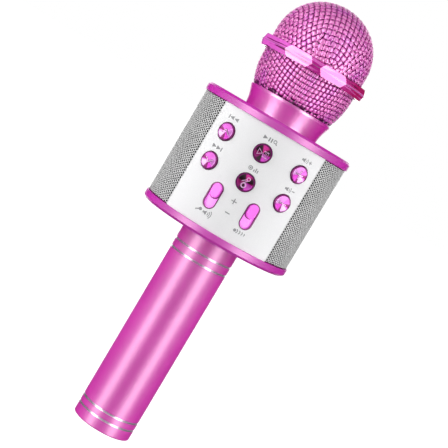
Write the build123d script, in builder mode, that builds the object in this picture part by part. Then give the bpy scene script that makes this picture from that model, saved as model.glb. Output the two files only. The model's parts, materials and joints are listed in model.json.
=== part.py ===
from build123d import *

import os
from math import cos, radians, sin, sqrt

# A hand-held karaoke microphone with a built-in loudspeaker, for children.
# It stands upright on the end of its handle. All lengths are in millimetres and all angles in
# degrees. The origin is the centre of the handle's end, +Z runs up the handle to the woven head,
# and the control panel faces -Y. Angles round the body are measured from the front (-Y) towards +X.

# ---------------------------------------------------------------- driving dimensions
TOTAL_HEIGHT = 251.0
CLEARANCE = 0.1

# handle
HANDLE_R = 16.45
HANDLE_WALL = 1.4
HANDLE_TOP = 113.0
HANDLE_EDGE = 0.7
GROOVE_HEIGHTS = (6.25, 10.55, 100.95, 105.8)
GROOVE_WIDTH = 1.1
GROOVE_DEPTH = 0.4
CAP_SKIRT_TOP = 9.0

# battery
CELL_R = 9.2
CELL_BOTTOM, CELL_TOP = 17.5, 82.5
HOLDER_R, HOLDER_WALL = 11.6, 2.0
HOLDER_BOTTOM, HOLDER_DECK, HOLDER_TOP = 12.0, 86.0, 108.0
HOLDER_PLATE = 2.0

# speaker housing
RIM_R = 42.1
SKIN_R = 41.3
PANEL_THICK = 1.2
GRILLE_THICK = 0.6
BASE_Z, PANEL_BOTTOM, PANEL_TOP, LID_Z = 116.0, 120.3, 179.4, 183.9
RIM_CHAMFER = 1.2
RIM_EASE = 0.2
GROOVE_IN, GROOVE_OUT, GROOVE_DEEP = 39.95, 41.4, 1.0
SKIN_BITE = 0.9
LIP_R, LIP_WALL, LIP_DEEP = 37.7, 1.7, 2.2
COVER_PLATE = 2.2
CHASSIS_R, CHASSIS_WALL = 39.9, 2.0
CHASSIS_SPLIT_Y = -20.0
PANEL_HALF_ANGLE = 43.2
REAR_HALF_ANGLE = 20.0
SKIN_GAP_ANGLE = 0.2
CLOTH_R, CLOTH_THICK = 40.45, 0.25

# spigot that carries the handle, and the flare above it
SPIGOT_R, SPIGOT_BORE, SPIGOT_BOTTOM = 14.9, 12.0, 100.0
COLLAR_R, COLLAR_FLARE = 16.75, 1.9

# controls
BUTTON_COLUMN_ANGLE = 30.2
BUTTON_ROWS = (166.4, 150.0)
BUTTON_R, BUTTON_HOLE_R, BUTTON_PROUD = 4.6, 4.92, 0.75
BUTTON_CHAMFER, BUTTON_DISH_R, BUTTON_DISH_DEEP = 0.35, 4.0, 0.3
FLANGE_R, FLANGE_FRONT, FLANGE_THICK = 5.7, 1.75, 1.0
STEM_R, STEM_END_Y = 2.0, -29.0
SLIDER_ANGLE, SLIDER_Z = 14.46, 136.4
SLOT_LENGTH, SLOT_WIDTH = 13.5, 6.1
KNOB_LENGTH, KNOB_WIDTH, KNOB_PROUD = 7.6, 4.8, 1.0
KNOB_REST_Z = SLIDER_Z + (SLOT_LENGTH - KNOB_LENGTH) / 2 - CLEARANCE
SHUTTER_R, SHUTTER_THICK, SHUTTER_HALF_ANGLE, SHUTTER_HALF = 39.7, 0.8, 5.2, 10.2
LEVER_X, LEVER_END_Y, LEVER_THICK, LEVER_HEIGHT = 9.65, -26.6, 1.2, 3.0

# control board, flat behind the control panel
BOARD_FRONT_Y, BOARD_THICK = -23.6, 1.6
BOARD_HALF_WIDTH, BOARD_BOTTOM, BOARD_TOP = 28.0, 123.0, 176.8
POST_X, POST_ROWS, POST_R, POST_HOLE_R = 24.0, (125.3, 174.8), 2.0, 0.85
SWITCH_X = 19.5
SWITCH_SIZE, SWITCH_TALL, PLUNGER_R, PLUNGER_TALL = 6.0, 3.5, 1.7, 1.3
POT_WIDTH, POT_LENGTH, POT_TALL = 5.0, 18.0, 4.0

# loudspeakers, one each side, back to back
SPEAKER_Z, SPEAKER_R = 150.0, 20.0
BAFFLE_X, BAFFLE_THICK, BAFFLE_HOLE_R = 31.2, 2.0, 17.2
BAFFLE_HALF_Z, BAFFLE_HALF_Y = 22.0, 20.0
WINDOW_HALF_Y, WINDOW_HALF_Z = 17.5, 18.0
MAGNET_R, MAGNET_BACK_X, MAGNET_FRONT_X = 12.0, 13.0, 20.0

# rear sockets, in one column on the centre line
PORT_BOARD_X, PORT_BOARD_THICK = 3.0, 1.6
PORT_BOARD_Y = (16.0, 38.4)
PORT_BOARD_Z = (123.6, 176.4)
PORT_MOUTH_Y = 39.9
LED_Z, POWER_Z, USB_Z, JACK_Z, CARD_Z = 172.5, 163.0, 151.0, 140.5, 129.5
LED_R = 0.95
POWER_SLOT_LENGTH, POWER_SLOT_WIDTH = 7.6, 2.6
POWER_KNOB_LENGTH, POWER_KNOB_WIDTH, POWER_TRAVEL = 3.8, 2.2, 3.0
USB_LONG, USB_SHORT, USB_DEEP, USB_WALL = 7.6, 2.7, 5.6, 0.35
CARD_LONG, CARD_SHORT, CARD_DEEP = 12.6, 2.0, 13.0
JACK_BORE_R, JACK_COLLAR_R, JACK_BODY, JACK_DEEP = 1.8, 2.9, 6.0, 13.0

# fasteners
LUG_ANGLES = (90.0, 145.0, 215.0, 270.0)
LUG_RADIUS = 33.0
SCREW_R, SCREW_PILOT_R, SCREW_CLEAR_R = 0.8, 0.85, 1.05
SCREW_HEAD_R, SCREW_HEAD_TALL = 1.9, 1.1
NECK_SCREW_RADIUS = 12.0

# neck
NECK_R, NECK_LIP_R, NECK_TOP, NECK_LIP_TALL = 20.95, 23.2, 194.6, 1.4
NECK_FLOOR, NECK_BORE_R, NECK_SEAT_Z, NECK_SEAT_R = 2.2, 18.8, 190.2, 21.35
WIRE_HOLE_R = 6.0

# head
MESH_THICK = 1.0
BOWL_ARC_R, BOWL_ARC_Z, BOWL_R = 36.5, 210.6, 26.3
BOWL_BOTTOM, BOWL_TOP = 191.1, 216.1
DOME_R, DOME_Z, DOME_SKIRT_R, DOME_BOTTOM = 26.7, 224.3, 26.9, 216.8
RING_Z, RING_HALF = 216.5, 3.15
RING_SIDES, RING_TURN, RING_FLAT, RING_FLAT_EDGE = 9, 1.5, 29.33, 29.02
RING_POINT_R, RING_POINT_EDGE_R, RING_BORE_R = 30.45, 29.6, 27.05
BAND_R, BAND_THICK, BAND_HALF = 25.3, 0.7, 2.6
FOAM_R, FOAM_THICK, FOAM_BOTTOM = 24.4, 2.5, 195.2

# capsule
POST_TUBE_R, POST_BORE_R, POST_CUP_R, POST_DECK = 5.5, 3.0, 10.4, 215.0
CAPSULE_R, CAPSULE_BOTTOM, CAPSULE_TOP = 8.2, 215.4, 222.0
BOOT_R = 9.3

finished = []


def keep(part, name):
    """Labels a finished piece and puts it on the list that is written at the end."""
    part.label = name
    finished.append(part)


def round_the_front(angle, height, radius=SKIN_R):
    """The plane that touches the housing at that angle from the front, facing outwards, +Z as its y."""
    a = radians(angle)
    return Plane(
        origin=(radius * sin(a), -radius * cos(a), height),
        x_dir=(cos(a), sin(a), 0),
        z_dir=(sin(a), -cos(a), 0),
    )


def ring_sector(outer, inner, start, end):
    """A flat ring sector between two angles from the front, for the curved skins of the housing."""
    with BuildSketch() as sector:
        with BuildLine():
            rim = CenterArc((0, 0), outer, start - 90, end - start)
            bore = CenterArc((0, 0), inner, start - 90, end - start)
            Line(rim @ 0, bore @ 0)
            Line(rim @ 1, bore @ 1)
        make_face()
    return sector.sketch


def curved_plate(outer, thick, start, end, bottom, top):
    """A plate bent round the Z axis."""
    with BuildPart() as plate:
        with BuildSketch(Plane.XY.offset(bottom)):
            add(ring_sector(outer, outer - thick, start, end))
        extrude(amount=top - bottom)
    return plate.part


def at_lugs(height):
    """The places of the four screw lugs, at one height."""
    return [
        (LUG_RADIUS * sin(radians(a)), -LUG_RADIUS * cos(radians(a)), height)
        for a in LUG_ANGLES
    ]


# ================================================================ handle

with BuildPart() as handle_tube:
    with BuildSketch(Plane.XZ):
        with Locations((HANDLE_R - HANDLE_WALL / 2, HANDLE_TOP / 2)):
            Rectangle(HANDLE_WALL, HANDLE_TOP)
    revolve(axis=Axis.Z)
    bottom_edges = handle_tube.edges().group_by(Axis.Z)[0]
    fillet(bottom_edges.sort_by(SortBy.LENGTH)[-1], HANDLE_EDGE)
    with BuildSketch(Plane.XZ):
        for height in GROOVE_HEIGHTS:
            with BuildLine():
                Polyline(
                    (HANDLE_R + GROOVE_DEPTH, height - GROOVE_WIDTH),
                    (HANDLE_R - GROOVE_DEPTH, height),
                    (HANDLE_R + GROOVE_DEPTH, height + GROOVE_WIDTH),
                    close=True,
                )
            make_face()
    revolve(axis=Axis.Z, mode=Mode.SUBTRACT)
keep(handle_tube.part, "handle_tube")

with BuildPart() as handle_end_cap:
    with BuildSketch():
        Circle(HANDLE_R - HANDLE_WALL)
    extrude(amount=2.0)
    with BuildSketch(Plane.XY.offset(2.0)):
        Circle(HANDLE_R - HANDLE_WALL - CLEARANCE)
        Circle(HANDLE_R - HANDLE_WALL - 1.6, mode=Mode.SUBTRACT)
    extrude(amount=CAP_SKIRT_TOP - 2.0)
    with BuildSketch():
        Circle(11.5)
        Circle(10.5, mode=Mode.SUBTRACT)
    extrude(amount=0.5, mode=Mode.SUBTRACT)
keep(handle_end_cap.part, "handle_end_cap")

# An open cradle for one cell, whose upper sleeve plugs into the spigot of the bottom cover.
with BuildPart() as battery_holder:
    with BuildSketch(Plane.XY.offset(HOLDER_BOTTOM)):
        add(ring_sector(HOLDER_R, HOLDER_R - HOLDER_WALL, 60, 300))
    extrude(amount=HOLDER_TOP - HOLDER_BOTTOM)
    with BuildSketch(Plane.XY.offset(HOLDER_BOTTOM)):
        Circle(HOLDER_R)
    extrude(amount=HOLDER_PLATE)
    with BuildSketch(Plane.XY.offset(HOLDER_DECK)):
        Circle(HOLDER_R)
        with Locations((0, 6.0)):
            SlotOverall(10.0, 3.0, mode=Mode.SUBTRACT)
    extrude(amount=HOLDER_PLATE)
keep(battery_holder.part, "battery_holder")

with BuildPart() as battery_cell:
    with BuildSketch(Plane.XY.offset(CELL_BOTTOM)):
        Circle(CELL_R)
    extrude(amount=CELL_TOP - CELL_BOTTOM - 1.5)
    fillet(battery_cell.edges(), 0.8)
    with BuildSketch(Plane.XY.offset(CELL_TOP - 1.5)):
        Circle(3.0)
    extrude(amount=1.5)
keep(battery_cell.part, "battery_cell")

# A folded leaf spring at each end of the cell, a strip 0.4 thick.
with BuildPart() as battery_contacts:
    for deck, tip in (
        (HOLDER_BOTTOM + HOLDER_PLATE, CELL_BOTTOM),
        (HOLDER_DECK, CELL_TOP),
    ):
        step = 0.4 if tip > deck else -0.4
        with BuildSketch(Plane.XZ.offset(-3.0)):
            with BuildLine():
                Polyline(
                    (-4.0, deck),
                    (4.0, deck),
                    (4.0, deck + step),
                    (-2.6, deck + step),
                    (2.6, tip - step),
                    (2.6, tip),
                    (1.6, tip),
                    (-4.0, deck + 1.6 * step),
                    close=True,
                )
            make_face()
        extrude(amount=6.0)
keep(battery_contacts.part, "battery_contacts")

# ================================================================ covers of the speaker housing

with BuildPart() as bottom_cover:
    with BuildSketch(Plane.XZ):
        with BuildLine():
            Polyline(
                (SPIGOT_BORE, BASE_Z + COVER_PLATE),
                (SPIGOT_BORE, SPIGOT_BOTTOM),
                (SPIGOT_R, SPIGOT_BOTTOM),
                (SPIGOT_R, HANDLE_TOP),
                (COLLAR_R, HANDLE_TOP),
                (COLLAR_R, BASE_Z - COLLAR_FLARE),
            )
            RadiusArc(
                (COLLAR_R, BASE_Z - COLLAR_FLARE),
                (COLLAR_R + COLLAR_FLARE, BASE_Z),
                COLLAR_FLARE,
            )
            Polyline(
                (COLLAR_R + COLLAR_FLARE, BASE_Z),
                (RIM_R - RIM_CHAMFER, BASE_Z),
                (RIM_R, BASE_Z + RIM_CHAMFER),
                (RIM_R, PANEL_BOTTOM - RIM_EASE),
                (RIM_R - RIM_EASE, PANEL_BOTTOM),
                (GROOVE_OUT, PANEL_BOTTOM),
                (GROOVE_OUT, PANEL_BOTTOM - GROOVE_DEEP),
                (GROOVE_IN, PANEL_BOTTOM - GROOVE_DEEP),
                (GROOVE_IN, PANEL_BOTTOM),
                (LIP_R, PANEL_BOTTOM),
                (LIP_R, PANEL_BOTTOM + LIP_DEEP),
                (LIP_R - LIP_WALL, PANEL_BOTTOM + LIP_DEEP),
                (LIP_R - LIP_WALL, BASE_Z + COVER_PLATE),
                (SPIGOT_BORE, BASE_Z + COVER_PLATE),
            )
        make_face()
    revolve(axis=Axis.Z)
    with Locations(Plane.XY.offset(BASE_Z)):
        with Locations(*[Location((x, y, 0), (180, 0, 0)) for x, y, _ in at_lugs(0)]):
            CounterBoreHole(SCREW_CLEAR_R, SCREW_HEAD_R + 0.3, 1.2, depth=COVER_PLATE + 1.0)
keep(bottom_cover.part, "bottom_cover")

with BuildPart() as top_cover:
    with BuildSketch(Plane.XZ):
        with BuildLine():
            Polyline(
                (WIRE_HOLE_R, LID_Z),
                (WIRE_HOLE_R, LID_Z - COVER_PLATE),
                (LIP_R - LIP_WALL, LID_Z - COVER_PLATE),
                (LIP_R - LIP_WALL, PANEL_TOP - LIP_DEEP),
                (LIP_R, PANEL_TOP - LIP_DEEP),
                (LIP_R, PANEL_TOP),
                (GROOVE_IN, PANEL_TOP),
                (GROOVE_IN, PANEL_TOP + GROOVE_DEEP),
                (GROOVE_OUT, PANEL_TOP + GROOVE_DEEP),
                (GROOVE_OUT, PANEL_TOP),
                (RIM_R - RIM_EASE, PANEL_TOP),
                (RIM_R, PANEL_TOP + RIM_EASE),
                (RIM_R, LID_Z - RIM_CHAMFER),
                (RIM_R - RIM_CHAMFER, LID_Z),
                close=True,
            )
        make_face()
    revolve(axis=Axis.Z)
    with BuildSketch(Plane.XY.offset(PANEL_TOP - LIP_DEEP - CLEARANCE)):
        with Locations(*at_lugs(0)):
            Circle(2.8)
    extrude(amount=LID_Z - COVER_PLATE - PANEL_TOP + LIP_DEEP + CLEARANCE)
    with BuildSketch(Plane.XY.offset(PANEL_TOP - LIP_DEEP - CLEARANCE)):
        with Locations(*at_lugs(0)):
            Circle(SCREW_PILOT_R)
    extrude(amount=4.4, mode=Mode.SUBTRACT)
    with BuildSketch(Plane.XY.offset(LID_Z - COVER_PLATE)):
        with PolarLocations(NECK_SCREW_RADIUS, 3, start_angle=90):
            Circle(SCREW_CLEAR_R)
    extrude(amount=COVER_PLATE, mode=Mode.SUBTRACT)
keep(top_cover.part, "top_cover")

# ================================================================ skins of the speaker housing

SKIN_BOTTOM, SKIN_TOP = PANEL_BOTTOM - SKIN_BITE, PANEL_TOP + SKIN_BITE

with BuildPart() as front_panel:
    add(
        curved_plate(
            SKIN_R,
            PANEL_THICK,
            -PANEL_HALF_ANGLE,
            PANEL_HALF_ANGLE,
            SKIN_BOTTOM,
            SKIN_TOP,
        )
    )
    for angle in (-BUTTON_COLUMN_ANGLE, 0, BUTTON_COLUMN_ANGLE):
        for row in BUTTON_ROWS:
            with BuildSketch(round_the_front(angle, row)):
                Circle(BUTTON_HOLE_R)
            extrude(amount=3.0, both=True, mode=Mode.SUBTRACT)
    for angle in (-SLIDER_ANGLE, SLIDER_ANGLE):
        with BuildSketch(round_the_front(angle, SLIDER_Z)):
            SlotOverall(SLOT_LENGTH, SLOT_WIDTH, rotation=90)
        extrude(amount=3.0, both=True, mode=Mode.SUBTRACT)
keep(front_panel.part, "front_panel")

with BuildPart() as rear_panel:
    add(
        curved_plate(
            SKIN_R,
            PANEL_THICK,
            180 - REAR_HALF_ANGLE,
            180 + REAR_HALF_ANGLE,
            SKIN_BOTTOM,
            SKIN_TOP,
        )
    )
    with BuildSketch(round_the_front(180, LED_Z)):
        Circle(LED_R + 0.1)
    extrude(amount=3.0, both=True, mode=Mode.SUBTRACT)
    with BuildSketch(round_the_front(180, JACK_Z)):
        Circle(JACK_COLLAR_R + 0.15)
    extrude(amount=3.0, both=True, mode=Mode.SUBTRACT)
    for height, long_side, short_side in (
        (POWER_Z, POWER_SLOT_LENGTH, POWER_SLOT_WIDTH),
        (USB_Z, USB_LONG + 1.0, USB_SHORT + 0.7),
        (CARD_Z, CARD_LONG + 0.6, CARD_SHORT + 0.3),
    ):
        with BuildSketch(round_the_front(180, height)):
            RectangleRounded(short_side, long_side, short_side * 0.4)
        extrude(amount=3.0, both=True, mode=Mode.SUBTRACT)
keep(rear_panel.part, "rear_panel")

for side, name in ((-1, "left"), (1, "right")):
    start = PANEL_HALF_ANGLE + SKIN_GAP_ANGLE
    end = 180 - REAR_HALF_ANGLE - SKIN_GAP_ANGLE
    limits = (start, end) if side > 0 else (-end, -start)
    grille = curved_plate(SKIN_R, GRILLE_THICK, *limits, SKIN_BOTTOM, SKIN_TOP)
    keep(grille, f"{name}_grille")
    cloth = curved_plate(
        CLOTH_R,
        CLOTH_THICK,
        limits[0] + 2.5,
        limits[1] - 2.5,
        PANEL_BOTTOM + 0.2,
        PANEL_TOP - 0.2,
    )
    keep(cloth, f"{name}_dust_cloth")

# ================================================================ inner chassis

CHASSIS_BOTTOM, CHASSIS_TOP = PANEL_BOTTOM + CLEARANCE, PANEL_TOP - CLEARANCE
CHASSIS_MIDDLE = (CHASSIS_BOTTOM + CHASSIS_TOP) / 2
LUG_BOTTOM_Z, LUG_TOP_Z, LUG_THICK = 123.0, 174.0, 2.9

with BuildPart() as chassis_front:
    # posts for the control board, trimmed to the round of the wall
    with BuildSketch(Plane.XZ.offset(-BOARD_FRONT_Y)):
        with Locations(*[(x, z) for x in (-POST_X, POST_X) for z in POST_ROWS]):
            Circle(POST_R)
    extrude(amount=12.0)
    with BuildSketch(Plane.XY.offset(CHASSIS_BOTTOM)):
        Circle(CHASSIS_R)
    extrude(amount=CHASSIS_TOP - CHASSIS_BOTTOM, mode=Mode.INTERSECT)
    with BuildSketch(Plane.XY.offset(CHASSIS_BOTTOM)):
        Circle(CHASSIS_R)
        Circle(CHASSIS_R - CHASSIS_WALL, mode=Mode.SUBTRACT)
    extrude(amount=CHASSIS_TOP - CHASSIS_BOTTOM)
    with BuildSketch(Plane.XZ.offset(-BOARD_FRONT_Y)):
        with Locations(*[(x, z) for x in (-POST_X, POST_X) for z in POST_ROWS]):
            Circle(POST_HOLE_R)
    extrude(amount=5.0, mode=Mode.SUBTRACT)
    # window behind the buttons, and the room that the slider shutters run in
    with BuildSketch(Plane.XZ.offset(26.0)):
        with Locations((0, 151.2)):
            Rectangle(54.0, 42.4)
        with Locations((0, 127.0)):
            Rectangle(34.0, 8.4)
    extrude(amount=16.0, mode=Mode.SUBTRACT)
    split(bisect_by=Plane.XZ.offset(-CHASSIS_SPLIT_Y + CLEARANCE / 2), keep=Keep.TOP)
keep(chassis_front.part, "chassis_front")

with BuildPart() as chassis_rear:
    with BuildSketch(Plane.XY.offset(CHASSIS_BOTTOM)):
        Circle(CHASSIS_R)
        Circle(CHASSIS_R - CHASSIS_WALL, mode=Mode.SUBTRACT)
    extrude(amount=CHASSIS_TOP - CHASSIS_BOTTOM)
    # sound windows in the wall
    with BuildSketch(Plane.YZ.offset(-CHASSIS_R - 1)):
        with Locations((0, SPEAKER_Z)):
            Rectangle(2 * WINDOW_HALF_Y, 2 * WINDOW_HALF_Z)
    extrude(amount=2 * CHASSIS_R + 2, mode=Mode.SUBTRACT)
    # baffles that the loudspeakers sit against
    for x in (BAFFLE_X, -BAFFLE_X - BAFFLE_THICK):
        with BuildSketch(Plane.YZ.offset(x)):
            with Locations((0, SPEAKER_Z)):
                Rectangle(2 * BAFFLE_HALF_Y, 2 * BAFFLE_HALF_Z)
                Circle(BAFFLE_HOLE_R, mode=Mode.SUBTRACT)
        extrude(amount=BAFFLE_THICK)
    # opening for the sockets
    with BuildSketch(Plane.XZ.offset(-30.0)):
        with Locations((-0.7, 149.8)):
            Rectangle(10.6, 54.0)
    extrude(amount=-12.0, mode=Mode.SUBTRACT)
    # rib that carries the socket board
    with Locations((5.75, 28.8, 150.0)):
        Box(2.0, 18.2, 44.0)
    with BuildSketch(Plane.YZ.offset(4.75)):
        with Locations((22.5, 132.0), (22.5, 168.0)):
            Circle(SCREW_PILOT_R)
    extrude(amount=2.0, mode=Mode.SUBTRACT)
    # screw lugs
    for angle in LUG_ANGLES:
        for height in (LUG_BOTTOM_Z, LUG_TOP_Z):
            lug_plane = round_the_front(angle, height + LUG_THICK / 2, LUG_RADIUS - 3.0)
            with BuildSketch(lug_plane):
                Rectangle(6.4, LUG_THICK)
            extrude(amount=8.2)
    with BuildSketch(Plane.XY.offset(BASE_Z + COVER_PLATE + CLEARANCE)):
        with Locations(*at_lugs(0)):
            Circle(2.8)
    extrude(amount=LUG_BOTTOM_Z - BASE_Z - COVER_PLATE)
    with BuildSketch(Plane.XY.offset(BASE_Z + COVER_PLATE)):
        with Locations(*at_lugs(0)):
            Circle(SCREW_PILOT_R)
    extrude(amount=6.2, mode=Mode.SUBTRACT)
    with BuildSketch(Plane.XY.offset(LUG_TOP_Z)):
        with Locations(*at_lugs(0)):
            Circle(SCREW_CLEAR_R)
    extrude(amount=LUG_THICK, mode=Mode.SUBTRACT)
    split(bisect_by=Plane.XZ.offset(-CHASSIS_SPLIT_Y - CLEARANCE / 2), keep=Keep.BOTTOM)
keep(chassis_rear.part, "chassis_rear")

# ================================================================ loudspeakers


def turned_on_x(side, outline):
    """A solid of revolution about the loudspeakers' axis. The outline is (distance out, radius)."""
    with BuildPart() as turned:
        with BuildSketch(Plane.XZ):
            with BuildLine():
                Polyline(*[(side * x, SPEAKER_Z + r) for x, r in outline], close=True)
            make_face()
        revolve(axis=Axis((0, 0, SPEAKER_Z), (1, 0, 0)))
    return turned.part


FRAME_FRONT_X = BAFFLE_X - 0.1
BASKET = (
    (FRAME_FRONT_X, SPEAKER_R),
    (FRAME_FRONT_X, 18.4),
    (FRAME_FRONT_X - 1.6, 18.2),
    (MAGNET_FRONT_X + 2.0, 11.0),
    (MAGNET_FRONT_X + 2.0, 7.4),
    (MAGNET_FRONT_X, 7.4),
    (MAGNET_FRONT_X, 12.6),
    (FRAME_FRONT_X - 2.2, 18.9),
    (FRAME_FRONT_X - 1.2, SPEAKER_R),
)
MAGNET = (
    (MAGNET_BACK_X, 0),
    (MAGNET_FRONT_X - 0.1, 0),
    (MAGNET_FRONT_X - 0.1, MAGNET_R - 2.0),
    (MAGNET_FRONT_X - 1.3, MAGNET_R - 2.0),
    (MAGNET_FRONT_X - 1.3, MAGNET_R),
    (MAGNET_BACK_X + 1.4, MAGNET_R),
    (MAGNET_BACK_X + 1.4, MAGNET_R - 2.0),
    (MAGNET_BACK_X, MAGNET_R - 3.0),
)
CONE = (
    (FRAME_FRONT_X - 1.5, 18.0),
    (FRAME_FRONT_X - 0.2, 18.0),
    (FRAME_FRONT_X - 0.1, 16.9),
    (FRAME_FRONT_X + 0.7, 16.2),
    (FRAME_FRONT_X + 0.5, 15.6),
    (FRAME_FRONT_X - 1.0, 14.6),
    (FRAME_FRONT_X - 6.4, 6.6),
    (FRAME_FRONT_X - 4.9, 4.2),
    (FRAME_FRONT_X - 4.2, 0),
    (FRAME_FRONT_X - 4.8, 0),
    (FRAME_FRONT_X - 5.5, 4.0),
    (FRAME_FRONT_X - 7.2, 6.6),
    (FRAME_FRONT_X - 1.5, 15.6),
)

for side, name in ((-1, "left"), (1, "right")):
    keep(turned_on_x(side, BASKET), f"{name}_speaker_basket")
    keep(turned_on_x(side, MAGNET), f"{name}_speaker_magnet")
    keep(turned_on_x(side, CONE), f"{name}_speaker_cone")

# ================================================================ control board

BOARD_BACK_Y = BOARD_FRONT_Y + BOARD_THICK

with BuildPart() as control_board:
    with BuildSketch(Plane.XZ.offset(-BOARD_FRONT_Y)):
        with Locations((0, (BOARD_BOTTOM + BOARD_TOP) / 2)):
            RectangleRounded(2 * BOARD_HALF_WIDTH, BOARD_TOP - BOARD_BOTTOM, 1.5)
        with Locations(*[(x, z) for x in (-POST_X, POST_X) for z in POST_ROWS]):
            Circle(SCREW_CLEAR_R, mode=Mode.SUBTRACT)
    extrude(amount=-BOARD_THICK)
keep(control_board.part, "control_board")

with BuildPart() as tact_switches:
    with BuildSketch(Plane.XZ.offset(-BOARD_FRONT_Y)):
        with Locations(*[(x, z) for x in (-SWITCH_X, 0, SWITCH_X) for z in BUTTON_ROWS]):
            Rectangle(SWITCH_SIZE, SWITCH_SIZE)
    extrude(amount=SWITCH_TALL)
    with BuildSketch(Plane.XZ.offset(-BOARD_FRONT_Y + SWITCH_TALL)):
        with Locations(*[(x, z) for x in (-SWITCH_X, 0, SWITCH_X) for z in BUTTON_ROWS]):
            Circle(PLUNGER_R)
    extrude(amount=PLUNGER_TALL)
keep(tact_switches.part, "tact_switches")

with BuildPart() as slide_pots:
    with BuildSketch(Plane.XZ.offset(-BOARD_FRONT_Y)):
        with Locations((-LEVER_X, SLIDER_Z), (LEVER_X, SLIDER_Z)):
            Rectangle(POT_WIDTH, POT_LENGTH)
    extrude(amount=POT_TALL)
    with BuildSketch(Plane.XZ.offset(-BOARD_FRONT_Y + POT_TALL)):
        with Locations((-LEVER_X, SLIDER_Z), (LEVER_X, SLIDER_Z)):
            Rectangle(LEVER_THICK + 0.6, 10.4)
    extrude(amount=-1.4, mode=Mode.SUBTRACT)
keep(slide_pots.part, "slide_pots")

with BuildPart() as bluetooth_module:
    with Locations((-14.0, BOARD_BACK_Y + 0.5, 162.0)):
        Box(13.0, 1.0, 18.0)
    with Locations((-14.0, BOARD_BACK_Y + 1.6, 164.0)):
        Box(10.0, 1.2, 11.0)
keep(bluetooth_module.part, "bluetooth_module")

with BuildPart() as amplifier_chips:
    with Locations((12.0, BOARD_BACK_Y + 0.8, 138.0), (12.0, BOARD_BACK_Y + 0.8, 150.0)):
        Box(6.0, 1.6, 5.0)
keep(amplifier_chips.part, "amplifier_chips")

with BuildPart() as capacitors:
    with BuildSketch(Plane.XZ.offset(-BOARD_BACK_Y)):
        with Locations((8.0, 168.0), (16.0, 168.0), (24.0, 160.0)):
            Circle(3.1)
    extrude(amount=-5.4)
    fillet(capacitors.edges().group_by(Axis.Y)[-1], 0.4)
keep(capacitors.part, "capacitors")

with BuildPart() as inductors:
    with BuildSketch(Plane.XZ.offset(-BOARD_BACK_Y)):
        with Locations((-10.0, 134.0), (-18.0, 134.0)):
            RectangleRounded(6.0, 6.0, 1.2)
    extrude(amount=-3.0)
keep(inductors.part, "inductors")

# ================================================================ buttons


def push_button(angle, row, stem_x):
    """A round cap with a shallow spun dish, a retaining flange and a stem that runs along Y."""
    flange_back = SKIN_R - FLANGE_FRONT - FLANGE_THICK
    with BuildPart() as button:
        with BuildSketch(Plane.XZ.offset(-STEM_END_Y)):
            with Locations((stem_x, row)):
                Circle(STEM_R)
        extrude(amount=flange_back + STEM_END_Y + 0.5)
        middle = round_the_front(angle, row, flange_back + FLANGE_THICK / 2)
        split(bisect_by=middle, keep=Keep.BOTTOM)
        with BuildSketch(round_the_front(angle, row, flange_back)):
            Circle(FLANGE_R)
        extrude(amount=FLANGE_THICK)
        with BuildSketch(round_the_front(angle, row, flange_back + FLANGE_THICK)):
            Circle(BUTTON_R)
        extrude(amount=FLANGE_FRONT + BUTTON_PROUD)
        a = radians(angle)
        outwards = Axis((0, 0, 0), (sin(a), -cos(a), 0))
        rim = button.edges().filter_by(GeomType.CIRCLE).sort_by(outwards)[-1]
        chamfer(rim, BUTTON_CHAMFER)
        face = round_the_front(angle, row, SKIN_R + BUTTON_PROUD)
        with Locations(face.offset(-BUTTON_DISH_DEEP / 2)):
            Cone(0.05, BUTTON_DISH_R, BUTTON_DISH_DEEP, mode=Mode.SUBTRACT)
    return button.part


COLUMNS = (
    (-BUTTON_COLUMN_ANGLE, -SWITCH_X, ("previous_button", "next_button")),
    (0.0, 0.0, ("play_button", "record_button")),
    (BUTTON_COLUMN_ANGLE, SWITCH_X, ("volume_up_button", "volume_down_button")),
)
for angle, stem_x, names in COLUMNS:
    for row, name in zip(BUTTON_ROWS, names):
        keep(push_button(angle, row, stem_x), name)

# ================================================================ level sliders


def level_slider(side):
    """A pill-shaped knob on a curved shutter that hides the slot, with a lever for the slide pot."""
    angle = side * SLIDER_ANGLE
    with BuildPart() as slider:
        add(
            curved_plate(
                SHUTTER_R,
                SHUTTER_THICK,
                angle - SHUTTER_HALF_ANGLE,
                angle + SHUTTER_HALF_ANGLE,
                KNOB_REST_Z - SHUTTER_HALF,
                KNOB_REST_Z + SHUTTER_HALF,
            )
        )
        with BuildSketch(round_the_front(angle, KNOB_REST_Z, SHUTTER_R - 0.4)):
            SlotOverall(KNOB_LENGTH, KNOB_WIDTH, rotation=90)
        extrude(amount=SKIN_R + KNOB_PROUD - SHUTTER_R + 0.4)
        a = radians(angle)
        outwards = Axis((0, 0, 0), (sin(a), -cos(a), 0))
        fillet(slider.faces().sort_by(outwards)[-1].edges(), 0.4)
        with BuildSketch(Plane.XZ.offset(-LEVER_END_Y)):
            with Locations((side * LEVER_X, KNOB_REST_Z)):
                Rectangle(LEVER_THICK, LEVER_HEIGHT)
        extrude(amount=SHUTTER_R * cos(a) + LEVER_END_Y - SHUTTER_THICK / 2)
    return slider.part


keep(level_slider(-1), "mic_level_slider")
keep(level_slider(1), "echo_level_slider")

# ================================================================ rear sockets

with BuildPart() as port_board:
    with Locations(
        (
            PORT_BOARD_X + PORT_BOARD_THICK / 2,
            sum(PORT_BOARD_Y) / 2,
            sum(PORT_BOARD_Z) / 2,
        )
    ):
        Box(
            PORT_BOARD_THICK,
            PORT_BOARD_Y[1] - PORT_BOARD_Y[0],
            PORT_BOARD_Z[1] - PORT_BOARD_Z[0],
        )
    with BuildSketch(Plane.YZ.offset(PORT_BOARD_X)):
        with Locations((22.5, 132.0), (22.5, 168.0)):
            Circle(SCREW_CLEAR_R)
    extrude(amount=PORT_BOARD_THICK, mode=Mode.SUBTRACT)
keep(port_board.part, "port_board")

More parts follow.
